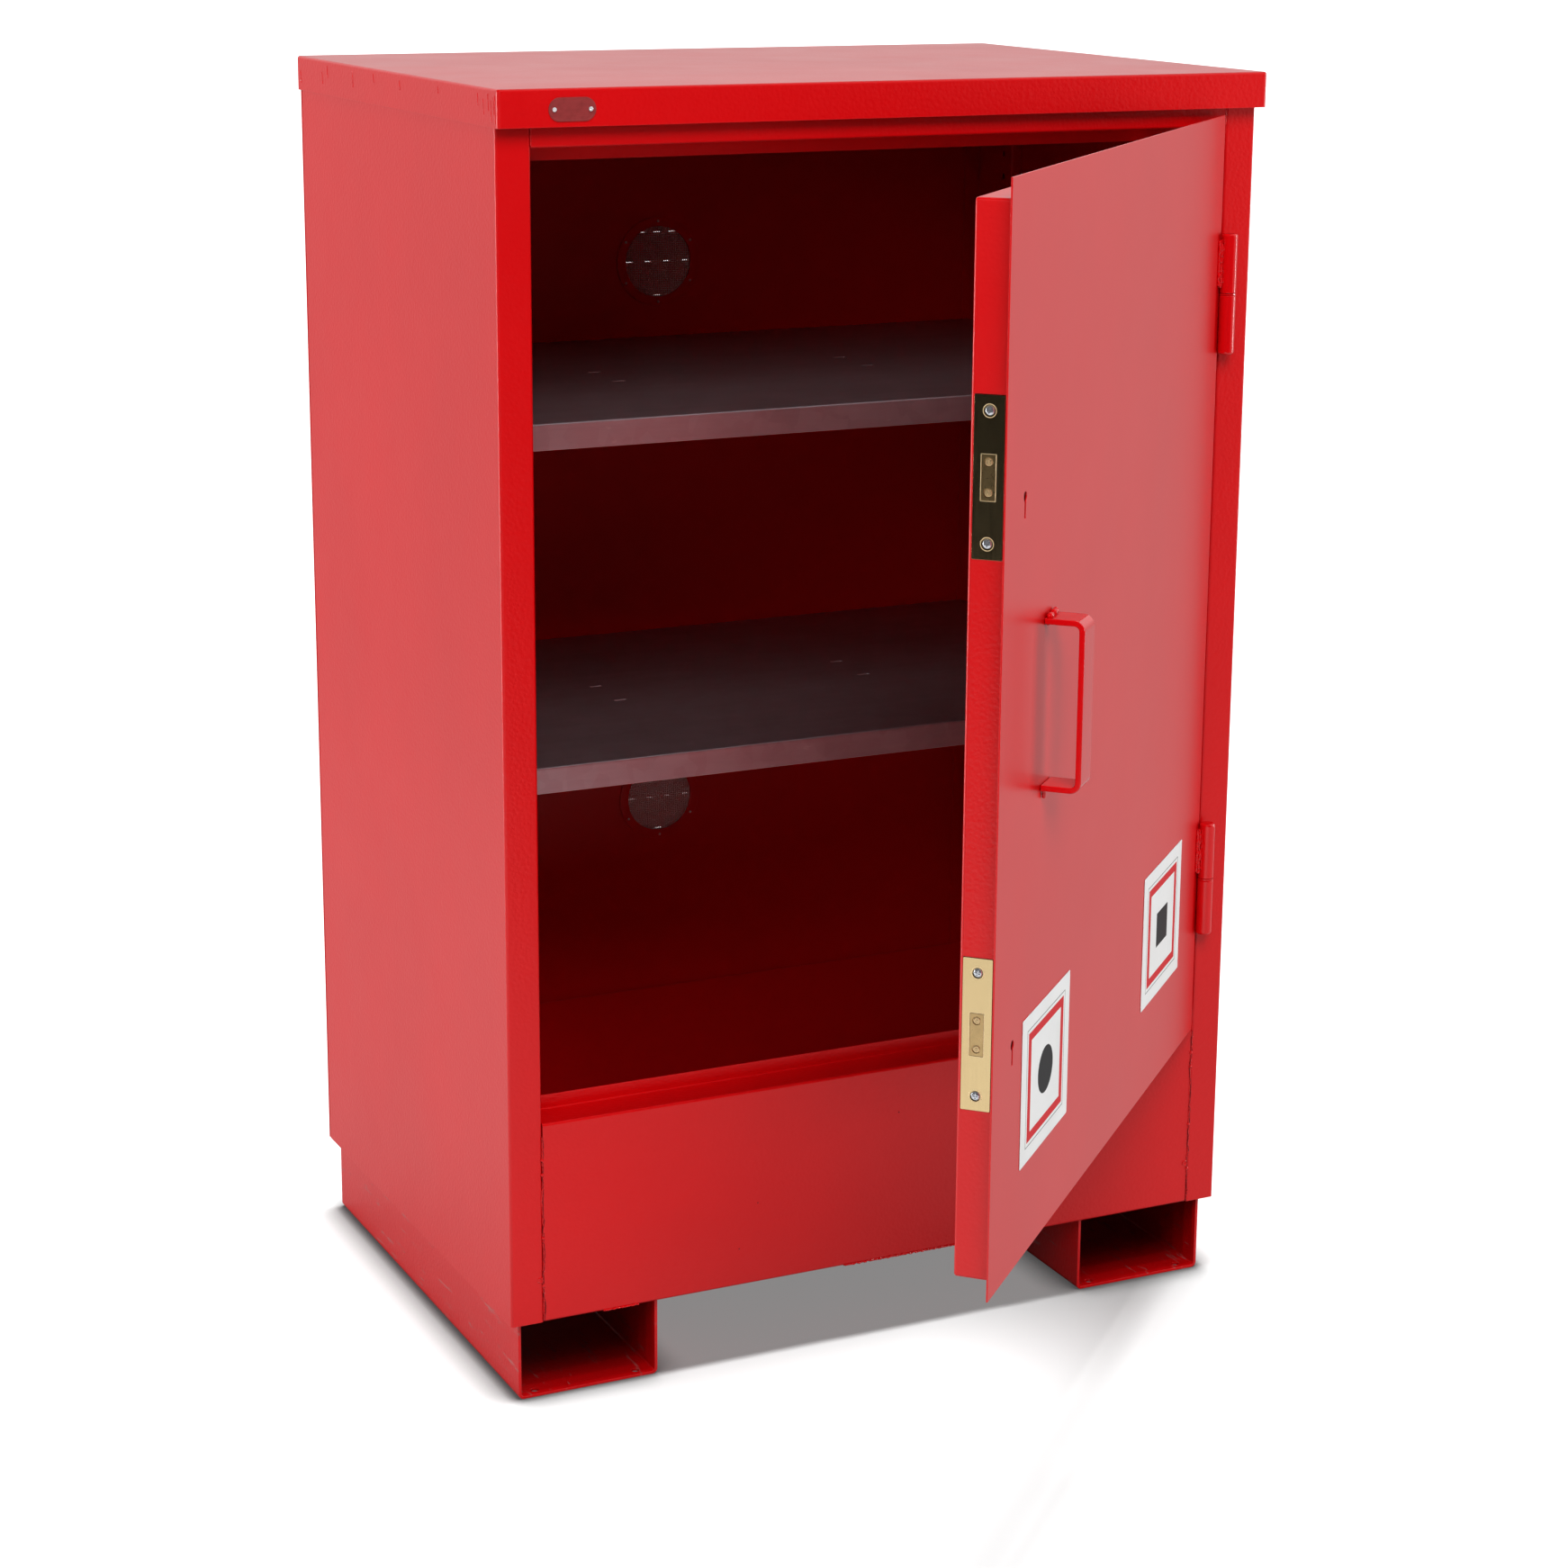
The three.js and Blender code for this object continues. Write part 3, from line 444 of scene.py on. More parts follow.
class Graph(Nodes):
    """The nodes of a new material."""

    def __init__(self, name):
        self.material = bpy.data.materials.new(name)
        super().__init__(self.material)
        self.shader = self.tree.nodes["Principled BSDF"]
        self.place = self.add("TexCoord").outputs["Object"]

    def set(self, **inputs):
        for key, value in inputs.items():
            self.feed(self.shader.inputs[key.replace("_", " ")], value)

    def finish(self, slot, **inputs):
        """Feeds the shader, and gives the material with the slot it fills."""
        self.set(**inputs)
        return self.material, slot

    def stretched(self, x, y, z):
        return self.add("Mapping", Vector=self.place, Scale=(x, y, z)).outputs["Vector"]

    def noise(self, scale, detail=2.0, roughness=0.5, where=None):
        return self.add("TexNoise", Vector=where or self.place, Scale=scale, Detail=detail,
                        Roughness=roughness).outputs["Fac"]

    def cells(self, scale, where=None, feature="SMOOTH_F1"):
        return self.add("TexVoronoi", {"feature": feature}, Vector=where or self.place, Scale=scale)

    def bump(self, height, strength, distance, normal=None):
        node = self.add("Bump", Height=height, Strength=strength, Distance=distance)
        if normal is not None:
            self.feed(node.inputs["Normal"], normal)
        return node.outputs["Normal"]

    def edges(self, radius):
        """1 on edges and corners, 0 on open faces."""
        rounded = self.add("Bevel", {"samples": 6}, Radius=radius).outputs["Normal"]
        flat = self.add("NewGeometry").outputs["Normal"]
        return self.remap(self.dot(rounded, flat), 0.995, 0.80, 0.0, 1.0)


def scaled(colour, factor):
    return tuple(c * factor for c in colour)


def powder_coat(name, colour, roughness=0.34, grain=1.0, scuffs=0.0, mottle=0.5, edge_wear_and_highlight=0.6):
    """Semi-gloss powder coat with a fine leatherette grain, paler over the edges: partly thinner
    paint there, partly a painted highlight.
    """
    g = Graph(name)
    broad = g.noise(5.0, 3)
    patchy = g.noise(38.0, 4, 0.6)
    shade = g.vary(broad, scaled(colour, 0.96), scaled(colour, 1.03))
    shade = g.mix(g.remap(patchy, 0.35, 0.75, 0, 0.4 * mottle), shade, scaled(colour, 0.94))
    # Paler edges: partly worn, thinner paint, partly a painted highlight along the edges and bends.
    worn_and_highlit_edges = g.times(g.edges(1.6 * MM), g.remap(g.noise(420.0, 3), 0.35, 0.65, 0.25, 1.0))
    thin_paint_and_highlight = (min(1, colour[0] * 1.12 + 0.05), colour[1] + 0.045, colour[2] + 0.045)
    shade = g.mix(g.times(worn_and_highlit_edges, edge_wear_and_highlight), shade, thin_paint_and_highlight)

    lumps = g.cells(300.0).outputs["Distance"]
    skin = g.noise(640.0, 2)
    normal = g.bump(g.plus(g.times(lumps, 0.75), g.times(skin, 0.35)), 0.75 * grain, 0.34 * MM)
    normal = g.bump(g.noise(9.0, 1), 0.04 * grain, 1.0 * MM, normal)
    rough = g.spread(g.noise(14.0, 3), roughness - 0.03 * mottle, roughness + 0.04 * mottle)
    if scuffs:
        lines = g.noise(150.0, 5, 0.7, g.stretched(1.0, 0.12, 1.0))
        scuff = g.remap(lines, 0.60, 0.66, 0.0, scuffs)
        shade = g.mix(scuff, shade, (0.30, 0.17, 0.16))
        rough = g.plus(rough, g.times(scuff, 0.3))
    return g.finish("red_paint", Base_Color=shade, Roughness=rough, Normal=normal)


def galvanised_sheet(name, colour):
    """Dull galvanised sheet: zinc crystals, fine rolling lines and a few faint marks."""
    g = Graph(name)
    crystal = g.cells(70.0, g.stretched(1.0, 0.8, 1.0), "F1").outputs["Color"]
    level = g.add("SeparateColor", Color=crystal).outputs[0]
    rolled = g.noise(90.0, 4, 0.65, g.stretched(0.06, 1.0, 1.0))
    cloud = g.noise(9.0, 4)
    tone = g.plus(g.remap(level, 0, 1, 0.94, 1.04), g.spread(rolled, -0.05, 0.05))
    shade = g.dimmed(colour, g.times(tone, g.spread(cloud, 0.94, 1.05)))
    marks = g.noise(110.0, 3, 0.6, g.stretched(0.35, 1.0, 1.0))
    shade = g.mix(g.remap(marks, 0.69, 0.73, 0.0, 0.30), shade, (0.62, 0.60, 0.60))
    # Paler edges and bends: a painted highlight.
    shade = g.mix(g.times(g.edges(1.2 * MM), 0.55), shade, (0.78, 0.74, 0.76))
    return g.finish("galvanised", Base_Color=shade, Metallic=0.88,
                    Roughness=g.remap(level, 0, 1, 0.40, 0.46),
                    Normal=g.bump(rolled, 0.10, 0.15 * MM))


def plated_metal(name, slot, colour, roughness, lines=(1.0, 1.0, 1.0), tarnish=0.15, metallic=1.0):
    """Satin metal with fine machining lines along one axis and a little uneven tarnish."""
    g = Graph(name)
    brushed = g.noise(900.0, 3, 0.6, g.stretched(*lines))
    stain = g.noise(120.0, 5, 0.6)
    shade = g.vary(brushed, scaled(colour, 0.93), scaled(colour, 1.05))
    shade = g.mix(g.remap(stain, 0.45, 0.8, 0, tarnish), shade, scaled(colour, 0.45))
    bright = tuple(min(1, c * 1.35 + 0.05) for c in colour)
    shade = g.mix(g.times(g.edges(0.5 * MM), 0.5), shade, bright)
    rough = g.plus(g.remap(stain, 0.3, 0.8, roughness, roughness + 0.3 * tarnish),
                   g.spread(brushed, -0.03, 0.03))
    return g.finish(slot, Base_Color=shade, Metallic=metallic, Roughness=rough,
                    Normal=g.bump(brushed, 0.06, 0.05 * MM))


def wire_gauze(name):
    g = Graph(name)
    soot = g.noise(260.0, 4)
    return g.finish("gauze", Base_Color=g.vary(soot, (0.62, 0.58, 0.56), (0.80, 0.75, 0.73)),
                    Metallic=0.2, Roughness=g.spread(soot, 0.45, 0.7),
                    Normal=g.bump(g.noise(1800.0, 2), 0.1, 0.05 * MM))


def printed_label(name, low, high, mark):
    """White vinyl with a plain red square outline, a hair line round it and one black mark."""
    g = Graph(name)
    where = g.add("SeparateXYZ", Vector=g.place).outputs

    def reach_along(axis, a, b):
        """0 in the middle of the label and 1 at its edges."""
        offset = g.math("SUBTRACT", where[axis], (a + b) / 2)
        return g.math("ABSOLUTE", g.math("DIVIDE", offset, (b - a) / 2))

    def outline(inner, outer):
        return g.times(g.math("LESS_THAN", reach, outer), g.math("GREATER_THAN", reach, inner))

    u = reach_along("X", low.x, high.x)
    v = reach_along("Z", low.z, high.z)
    reach = g.math("MAXIMUM", u, v)
    band = outline(0.62, 0.74)
    hair_line = outline(0.785, 0.800)
    if mark == "disc":
        inside = g.math("LESS_THAN", g.plus(g.times(u, u), g.times(v, v)), 0.10)
    else:
        inside = g.math("LESS_THAN", g.math("MAXIMUM", g.times(u, 0.9), v), 0.26)
    white = g.vary(g.noise(14.0, 4), (0.80, 0.80, 0.79), (0.86, 0.86, 0.855))
    red = g.vary(g.noise(700.0, 2), (0.60, 0.008, 0.016), (0.66, 0.014, 0.02))
    shade = g.mix(band, white, red)
    shade = g.mix(g.times(hair_line, 0.8), shade, (0.12, 0.12, 0.12))
    shade = g.mix(inside, shade, (0.012, 0.012, 0.013))
    rough = g.remap(g.math("MAXIMUM", band, inside), 0, 1, 0.42, 0.34)
    g.shader.inputs["Specular IOR Level"].default_value = 0.04
    return g.finish("label", Base_Color=shade, Roughness=rough,
                    Normal=g.bump(g.noise(900.0, 2), 0.06, 0.05 * MM))


RED = (0.60, 0.0015, 0.003)
ALONG_X, ALONG_Z, UPRIGHT = (0.1, 1.0, 1.0), (1.0, 1.0, 0.1), (1.0, 1.0, 0.03)
PAINT = powder_coat("red_powder_coat", RED)
PAINT_DOOR = powder_coat("red_powder_coat_door", RED, roughness=0.32, grain=0.03, mottle=0.2)
PAINT_SKID = powder_coat("red_powder_coat_skid", RED, roughness=0.36, scuffs=0.5)
# Dark red for specks under the paint, and for dark seam lines that are painted shade.
PAINT_SPECKS_AND_SEAM_SHADE = powder_coat("red_powder_coat_specks_and_seam_shade", (0.24, 0.0012, 0.003), 0.6, grain=0.1, edge_wear_and_highlight=0.0)
PAINT_WELD = powder_coat("red_powder_coat_weld", (0.62, 0.002, 0.004), 0.15, grain=0.06, edge_wear_and_highlight=0.12)
GALVANISED = galvanised_sheet("galvanised_sheet", (0.44, 0.37, 0.40))
BRASS = plated_metal("satin_brass", "brass", (0.74, 0.56, 0.29), 0.17, UPRIGHT, 0.05)
BRASS_CAST = plated_metal("cast_brass", "brass", (0.62, 0.43, 0.20), 0.28, ALONG_X, 0.2)
BRASS_EDGE = plated_metal("bright_brass", "brass", (0.86, 0.66, 0.36), 0.22, tarnish=0.1,
                          metallic=0.35)
BRASS_ROLLER = plated_metal("roller_brass", "brass", (0.66, 0.47, 0.24), 0.25, tarnish=0.2,
                            metallic=0.65)
ZINC = plated_metal("bright_zinc", "zinc", (0.66, 0.69, 0.74), 0.20, tarnish=0.2, metallic=0.85)
RIVET = plated_metal("bright_rivet", "zinc", (0.86, 0.86, 0.88), 0.18, tarnish=0.1, metallic=0.35)
PLATE = plated_metal("tinted_plate", "zinc", (0.34, 0.05, 0.05), 0.30, (0.04, 1.0, 1.0), 0.6, 0.3)
STEEL = plated_metal("oiled_steel", "steel", (0.40, 0.40, 0.41), 0.32, ALONG_Z, 0.4)
GAUZE = wire_gauze("wire_gauze")

# ---- body ----

LINTEL_LOW, LINTEL_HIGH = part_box("lintel")
SUMP_LOW, SUMP_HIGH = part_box("sump_front_panel")
CAP_LOW, CAP_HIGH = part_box("top_cap")
SHUT_SHEET_LOW, SHUT_SHEET_HIGH = closed_box("door_outer_sheet")
FRONT = LINTEL_LOW.y  # the body's front face
STOP = LINTEL_HIGH.y - SHEET  # front face of the stop lips
OPENING = LINTEL_HIGH.x + GAP  # half the width of the door opening
LINTEL_FOLD = 1.197  # height of the fold under the lintel
SEAM = 0.5 * MM  # groove left beside the sump panel's welds
SUMP_FOLD = SUMP_HIGH.z - 14 * MM  # height of the fold over the sump panel
SEAM_TOP = SHUT_SHEET_LOW.z - 4 * MM  # raised welds end below the shut door
STRIKE_ROOM = (1.3, 1.13)  # strike slots against the bolts, in depth and height
MIRROR = Matrix.Scale(-1, 4, Vector((1, 0, 0)))


def side_panel(side):
    """Side wall, jamb, door return and stop lip, folded from one sheet. Drawn for the left side."""
    low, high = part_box("left_side_panel")
    back_flange = 20 * MM
    path = [(low.x + back_flange, high.y), (low.x, high.y), (low.x, low.y), (-OPENING, low.y),
            (-OPENING, STOP), (high.x, STOP)]
    panel = prism(folded(path), "Z", low.z, high.z)
    lip_start, lip_end = (-OPENING + BEND, STOP - 3 * MM), (high.x + MM, STOP + 4 * MM)
    tools = [block((*lip_start, low.z - MM), (*lip_end, SUMP_HIGH.z + GAP)),
             block((*lip_start, LINTEL_LOW.z - GAP), (*lip_end, high.z + MM))]
    if side < 0:
        for level in LEVELS:
            bolt_low, bolt_high = closed_box(f"{level}_lock_bolt")
            strike = box_outline(bolt_low, bolt_high, "X", 2 * MM)
            strike = resized(strike, (bolt_low + bolt_high) / 2, *STRIKE_ROOM)
            tools.append(prism(strike, "X", -OPENING - 3 * MM, -OPENING + 2 * MM))
    panel = cut(panel, *tools)
    if side > 0:
        panel.data.transform(MIRROR)
        panel.data.flip_normals()
    name = "left_side_panel" if side < 0 else "right_side_panel"
    stand_in(name, "sheet", panel, PAINT)


def front_strips():
    """The folded strips over and under the door opening."""
    path = [(FRONT, LINTEL_HIGH.z), (FRONT, LINTEL_FOLD), (STOP, LINTEL_FOLD), (STOP, LINTEL_LOW.z)]
    strip = prism(folded(path), "X", LINTEL_LOW.x, LINTEL_HIGH.x)
    stand_in("lintel", "sheet", strip, PAINT)
    path = [(STOP, SUMP_HIGH.z), (STOP, SUMP_FOLD), (FRONT, SUMP_FOLD), (FRONT, SUMP_LOW.z),
            (STOP + SHEET, SUMP_LOW.z)]
    strip = prism(folded(path), "X", SUMP_LOW.x + SEAM, SUMP_HIGH.x - SEAM)
    add_piece("sump_front_sheet", strip, PAINT, ["sump_front_panel"])


def sump_tray():
    low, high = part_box("sump_tray")
    shell = round_edges(block(low, high), lambda a, b: min(a.z, b.z) < low.z + MM, 2.5 * MM)
    hollow = block(low + Vector((SHEET,) * 3), high + Vector((-SHEET, -SHEET, MM)))
    hollow = round_edges(hollow, lambda a, b: min(a.z, b.z) < low.z + 2 * SHEET, 1.5 * MM)
    stand_in("sump_tray", "sheet", cut(shell, hollow), PAINT)


def back_panel():
    low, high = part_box("back_panel")
    holes = []
    for level in LEVELS:
        gauze_low, gauze_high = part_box(f"{level}_vent_gauze")
        centre = ((gauze_low.x + gauze_high.x) / 2, (gauze_low.z + gauze_high.z) / 2)
        holes.append(punch(circle(centre, 40 * MM, 64), "Y", low.y, high.y))
    stand_in("back_panel", "sheet", cut(block(low, high), *holes), PAINT)


def top_cap():
    low, high = CAP_LOW, CAP_HIGH
    lid = prism(box_outline(low, high, "Z", 4 * MM), "Z", low.z, high.z)
    round_edges(lid, lambda a, b: min(a.z, b.z) > high.z - MM, 2.6 * MM)
    inner = box_outline(low, high, "Z", 2.5 * MM, inset=SHEET)
    hollow = prism(inner, "Z", low.z - MM, high.z - SHEET)
    stand_in("top_cap", "sheet", cut(lid, hollow), PAINT)


CAP_RIDGES = (  # millimetres back from the front, and lower and upper ends as parts of the height
    (5, 0.10, 0.84), (9, 0.30, 0.80), (15, 0.12, 0.70), (22, 0.40, 0.86), (34, 0.30, 0.72),
    (48, 0.50, 0.84), (150, 0.62, 0.86), (255, 0.52, 0.82), (330, 0.60, 0.86), (392, 0.36, 0.84),
    (470, 0.50, 0.86), (486, 0.30, 0.66), (556, 0.20, 0.60))


def cap_marks():
    """Upright ridges left where the cap's left skirt was folded and its corners dressed."""
    x, y = CAP_LOW.x + 0.22 * MM, CAP_LOW.y
    tall = CAP_HIGH.z - CAP_LOW.z
    ridges = []
    for k, (back, bottom, top) in enumerate(CAP_RIDGES):
        ridges.append(bead([(x, y + back * MM, CAP_LOW.z + bottom * tall),
                            (x, y + (back + 1.5) * MM, CAP_LOW.z + top * tall)],
                           0.62 * MM, seed=k * 2.3, ripple=0.08, wander=0.2, sides=8))
    add_piece("cap_left_skirt_marks", merged(*ridges), PAINT_WELD, edge=0)


def skid(name):
    """An open channel with a bolt hole near each corner of its floor."""
    low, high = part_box(name)
    wall = 3 * MM
    path = [(low.x, high.z), (low.x, low.z), (high.x, low.z), (high.x, high.z)]
    channel = prism(folded(path, wall, 2.5 * MM), "Y", low.y, high.y)
    middle = (low.x + high.x) / 2
    apart, inset = 53 * MM, 9.5 * MM
    spots = [(middle + x, y) for x in (-apart, apart) for y in (low.y + inset, high.y - inset)]
    holes = [punch(circle(spot, 4 * MM, 24), "Z", low.z, low.z + wall) for spot in spots]
    stand_in(name, "channel", cut(channel, *holes), PAINT_SKID, edge=0.4 * MM)
    # Dark lines along the tops of both walls: a painted shadow of the gap under the body's bottom
    # edge.
    z = high.z - 0.6 * MM
    lines = [bead([(x, low.y + 2 * MM, z), (x, high.y - 2 * MM, z)], 0.55 * MM, seed=x * 9,
                  ripple=0.5, wander=0.6, sides=6) for x in (low.x + 0.1 * MM, high.x - 0.1 * MM)]
    add_piece(f"{name}_seam_shadow_lines", merged(*lines), PAINT_SPECKS_AND_SEAM_SHADE, edge=0)


def wandering_line(x, y, bottom, top, reach, seed, steps=60):
    """Points up an upright line that wander a little across X."""
    a, b = Vector((x, y, bottom)), Vector((x, y, top))
    points = []
    for k in range(steps + 1):
        t = k / steps
        drift = noise.noise(Vector((t * 7, seed, 0))) + 0.5 * noise.noise(Vector((t * 25, seed, 3)))
        points.append(a.lerp(b, t) + Vector((reach * drift, 0, 0)))
    return points


def nibs():
    """A few specks under the paint of the sump panel."""
    spots = ((0.02, 0.235), (-0.135, 0.165), (-0.155, 0.120), (0.21, 0.190), (0.12, 0.105))
    profile = in_mm((0, -0.45), (0.6, -0.3), (0.95, 0.1), (0, 0.1))
    shapes = [lathe(profile, "Y", Vector((x, FRONT, z)), 10) for x, z in spots]
    add_piece("sump_front_specks", merged(*shapes), PAINT_SPECKS_AND_SEAM_SHADE, edge=0)


def body_welds():
    """Painted-over seams where the strips over and under the opening meet the jambs."""
    y, z = FRONT + 0.5 * MM, SUMP_LOW.z + 0.4 * MM
    runs = ((-0.300, -0.262), (-0.040, 0.095), (0.150, 0.170))
    beads = [bead([(a, y, z), (b, y, z)], 1.3 * MM, seed=a * 50, ripple=0.4, wander=0.7, sides=8)
             for a, b in runs]
    add_piece("sump_bottom_weld", merged(*beads), PAINT_WELD, edge=0)
    crater = in_mm((1.6, 0.4), (1.7, -0.5), (2.3, -0.8), (3.0, -0.4), (3.2, 0.4), (1.6, 0.4))
    for side, name in ((-1, "left"), (1, "right")):
        x = side * OPENING
        line = wandering_line(x, FRONT + 0.1 * MM, SUMP_LOW.z + 2 * MM, SEAM_TOP, 2.0 * MM, side)
        seam = bead(line, 0.85 * MM, side * 3.0, 0.35, 0.8, 8)
        half = 1.8 * MM * side
        spots = [bead([(x - half, FRONT, z), (x + half, FRONT, z + 1.5 * MM)], 1.7 * MM, z * 90)
                 for z in (0.118, 0.167, 0.231, 0.246)]
        ring = moved(lathe(crater, "Y", Vector((0, 0, 0)), 20),
                     Matrix.Translation((x - 3 * MM, FRONT, 0.125)))
        add_piece(f"{name}_sump_weld", merged(seam, ring, *spots), PAINT, edge=0)
        # A dark wandering line and a dark fill in the groove at each side of the sump panel: painted
        # shade in the seam.
        bottom = SUMP_LOW.z + 1 * MM
        line = wandering_line(x + 0.3 * MM, FRONT - 0.25 * MM, bottom, SEAM_TOP, 2.4 * MM, side + 2)
        shadow_line = bead(line, 0.75 * MM, side * 5.0, 0.5, 0.8, 6)
        groove, depth = x - side * SEAM / 2, FRONT + 0.6 * MM
        line = [(groove, depth, bottom), (groove, depth, SEAM_TOP)]
        fill = bead(line, 0.55 * MM, side * 9.0, 0.1, 0.0, 6)
        add_piece(f"{name}_sump_seam_shadow_line", merged(shadow_line, fill), PAINT_SPECKS_AND_SEAM_SHADE, edge=0)
        line = wandering_line(x, FRONT + 0.2 * MM, LINTEL_FOLD + 2 * MM, LINTEL_HIGH.z - 2 * MM,
                              0.5 * MM, side + 5)
        upper = bead(line, 0.7 * MM, side * 7.0, ripple=0.3, sides=8)
        add_piece(f"{name}_lintel_weld", upper, PAINT_WELD, edge=0)


# ---- shelving ----

PEG_HOLE, PEG_PITCH, PEG_INSET = 6 * MM, 25 * MM, 17 * MM
PEG_FIRST, PEG_LAST = 10.5 * MM, 910.5 * MM


def upright(name):
    low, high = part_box(name)
    wall, face = (low.x, high.x) if low.x < 0 else (high.x, low.x)
    path = [(wall, high.y), (face, high.y), (face, low.y), (wall, low.y)]
    if low.x < 0:
        path.reverse()
    channel = prism(folded(path), "Z", low.z, high.z)
    holes = []
    z = low.z + PEG_FIRST
    half = PEG_HOLE / 2
    while z < low.z + PEG_LAST + MM:
        outline = rectangle_about(low.y + PEG_INSET, z, half, half, 0.7 * MM, 2)
        holes.append(punch(outline, "X", low.x, high.x))
        z += PEG_PITCH
    stand_in(name, "channel", cut(channel, merged(*holes)), PAINT)


def shelf(name):
    """A pressed shelf: soft top edges, a lip all round, a hem at the front, four short slots."""
    low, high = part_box(name)
    pressed = round_edges(block(low, high),
                          lambda a, b: min(a.z, b.z) > high.z - MM or abs(a.z - b.z) > MM, 2.2 * MM)
    hollow = block((low.x + SHEET, low.y + SHEET, low.z - MM),
                   (high.x - SHEET, high.y - SHEET, high.z - SHEET))
    tray = cut(pressed, hollow)
    half = SHEET / 2
    hem = block((low.x + half, low.y + half, low.z),
                (high.x - half, low.y + 10 * MM, low.z + SHEET))
    cut(tray, hem, operation="UNION")
    slots = []
    for x in (-170 * MM, 106 * MM):
        for y in (low.y + 216.5 * MM, low.y + 280.5 * MM):
            outline = rectangle_about(x, y, 7 * MM, 2 * MM, 1.9 * MM)
            slots.append(prism(outline, "Z", high.z - 2 * SHEET, high.z + MM))
    cut(tray, *slots)
    stand_in(name, "tray", tray, GALVANISED)


def add_shelving():
    for corner in ("left_front", "left_rear", "right_front", "right_rear"):
        upright(f"{corner}_upright")
        for level in LEVELS:
            clip = f"{level}_shelf_{corner}_clip"
            stand_in(clip, "bracket", cad_shape(clip), ZINC, edge=0.5 * MM)
    for level in LEVELS:
        shelf(f"{level}_shelf")


# ---- vents and plate ----

VENT_SLOT_ROWS = ((31.5, 3, 17.2), (0.0, 4, 21.8), (-36.7, 1, 0.0))  # height, count and pitch in mm
VENT_SLOT = (3.6 * MM, 0.36 * MM)  # half its length and height
RIVET_CIRCLE = 43.5 * MM
WIRE_CORNERS = [radians(a) for a in (45, 135, 225, 315)]


def woven(centre, radius, depth, pitch=2.0 * MM, wire=0.62 * MM):
    """A round piece of plain-woven wire gauze standing across Y."""
    shape = bmesh.new()
    count = int(radius / pitch)
    for along_x in (True, False):
        for i in range(-count, count + 1):
            offset = (i + 0.5) * pitch
            reach = sqrt(max(0.0, radius ** 2 - offset ** 2)) - wire
            if reach < 2 * pitch:
                continue
            steps = max(4, int(2 * reach / pitch * 2))
            over = 1 if (i % 2 == 0) == along_x else -1
            rings = []
            for k in range(steps + 1):
                s = -reach + 2 * reach * k / steps
                lift = over * depth * cos(pi * (s / pitch - 0.5))
                middle = centre + Vector((s, lift, offset) if along_x else (offset, lift, s))
                ring = []
                for a in WIRE_CORNERS:
                    c, d = wire * cos(a), wire * sin(a)
                    corner = Vector((0, c, d) if along_x else (d, c, 0))
                    ring.append(shape.verts.new(middle + corner))
                rings.append(ring)
            close_tube(shape, rings)
    return shape


def vent(level):
    """Inside ring with its rivets, gauze in the hole and a slotted cover outside."""
    low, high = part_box(f"{level}_vent_ring")
    centre = (low + high) / 2
    inner, outer, soft, face = 38 * MM, 48 * MM, 0.5 * MM, SHEET / 2
    ring = lathe([(inner, face), (inner, -face + soft), (inner + soft, -face),
                  (outer - soft, -face), (outer, -face + soft), (outer, face), (inner, face)],
                 "Y", centre, 72)
    stand_in(f"{level}_vent_ring", "plate", ring, PAINT, edge=0)
    head = in_mm((0, -1.0), (0.9, -0.8), (1.5, -0.3), (1.6, 0), (0, 0))
    rivets = []
    for k in range(6):
        a = radians(60 * k + 30)
        spot = Vector((centre.x + RIVET_CIRCLE * cos(a), low.y,
                       centre.z + RIVET_CIRCLE * sin(a)))
        rivets.append(lathe(head, "Y", spot, 16))
    add_piece(f"{level}_vent_rivets", merged(*rivets), RIVET, edge=0)

    gauze_low, gauze_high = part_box(f"{level}_vent_gauze")
    mesh = woven((gauze_low + gauze_high) / 2, 39.4 * MM, 0.3 * MM)
    stand_in(f"{level}_vent_gauze", "mesh", mesh, GAUZE, edge=0)

    low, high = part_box(f"{level}_vent_cover")
    middle = (low + high) / 2
    cover = prism(circle((middle.x, middle.z), 50 * MM, 96), "Y", low.y, high.y)
    slots = []
    for height, columns, pitch in VENT_SLOT_ROWS:
        for column in range(columns):
            x = middle.x + (column - (columns - 1) / 2) * pitch * MM
            outline = rectangle_about(x, middle.z + height * MM, *VENT_SLOT, 0.3 * MM)
            slots.append(punch(outline, "Y", low.y, high.y))
    stand_in(f"{level}_vent_cover", "plate", cut(cover, merged(*slots)), PAINT, edge=0.35 * MM)


def id_plate():
    low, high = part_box("id_plate")
    radius = (high.z - low.z) / 2 - 0.02 * MM
    outline = box_outline(low, high, "Y", radius, 16)
    plate = prism(outline, "Y", low.y, high.y)
    inset, sunk = 1.6 * MM, 0.18 * MM
    panel = box_outline(low, high, "Y", radius - inset, 16, inset)
    nodes = ("id_plate_left_rivet", "id_plate_right_rivet")
    boxes = [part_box(node) for node in nodes]
    spots = [(a + b) / 2 for a, b in boxes]
    tools = [prism(panel, "Y", low.y - MM, low.y + sunk)]
    tools += [punch(circle((s.x, s.z), 1.6 * MM, 24), "Y", low.y, high.y) for s in spots]
    stand_in("id_plate", "panel", cut(plate, *tools), PLATE, edge=0.12 * MM)
    profile = in_mm((0, 0.9), (0.8, 0.9), (0.95, 0.15), (1.4, 0.0), (2.0, 0.35), (2.1, 1.0),
                    (1.3, 1.0), (1.3, 2.1), (0, 2.1))
    for node, box, spot in zip(nodes, boxes, spots):
        head = lathe(profile, "Y", Vector((spot.x, box[0].y, spot.z)), 28)
        stand_in(node, "head", head, RIVET, edge=0)


# ---- hinges ----

KNUCKLE = 8 * MM
DOOR_BEADS = ((-7.6, -2.6, 1.9), (-10.2, -0.9, 1.5), (-6.3, -5.0, 1.3))  # x, y and radius in mm


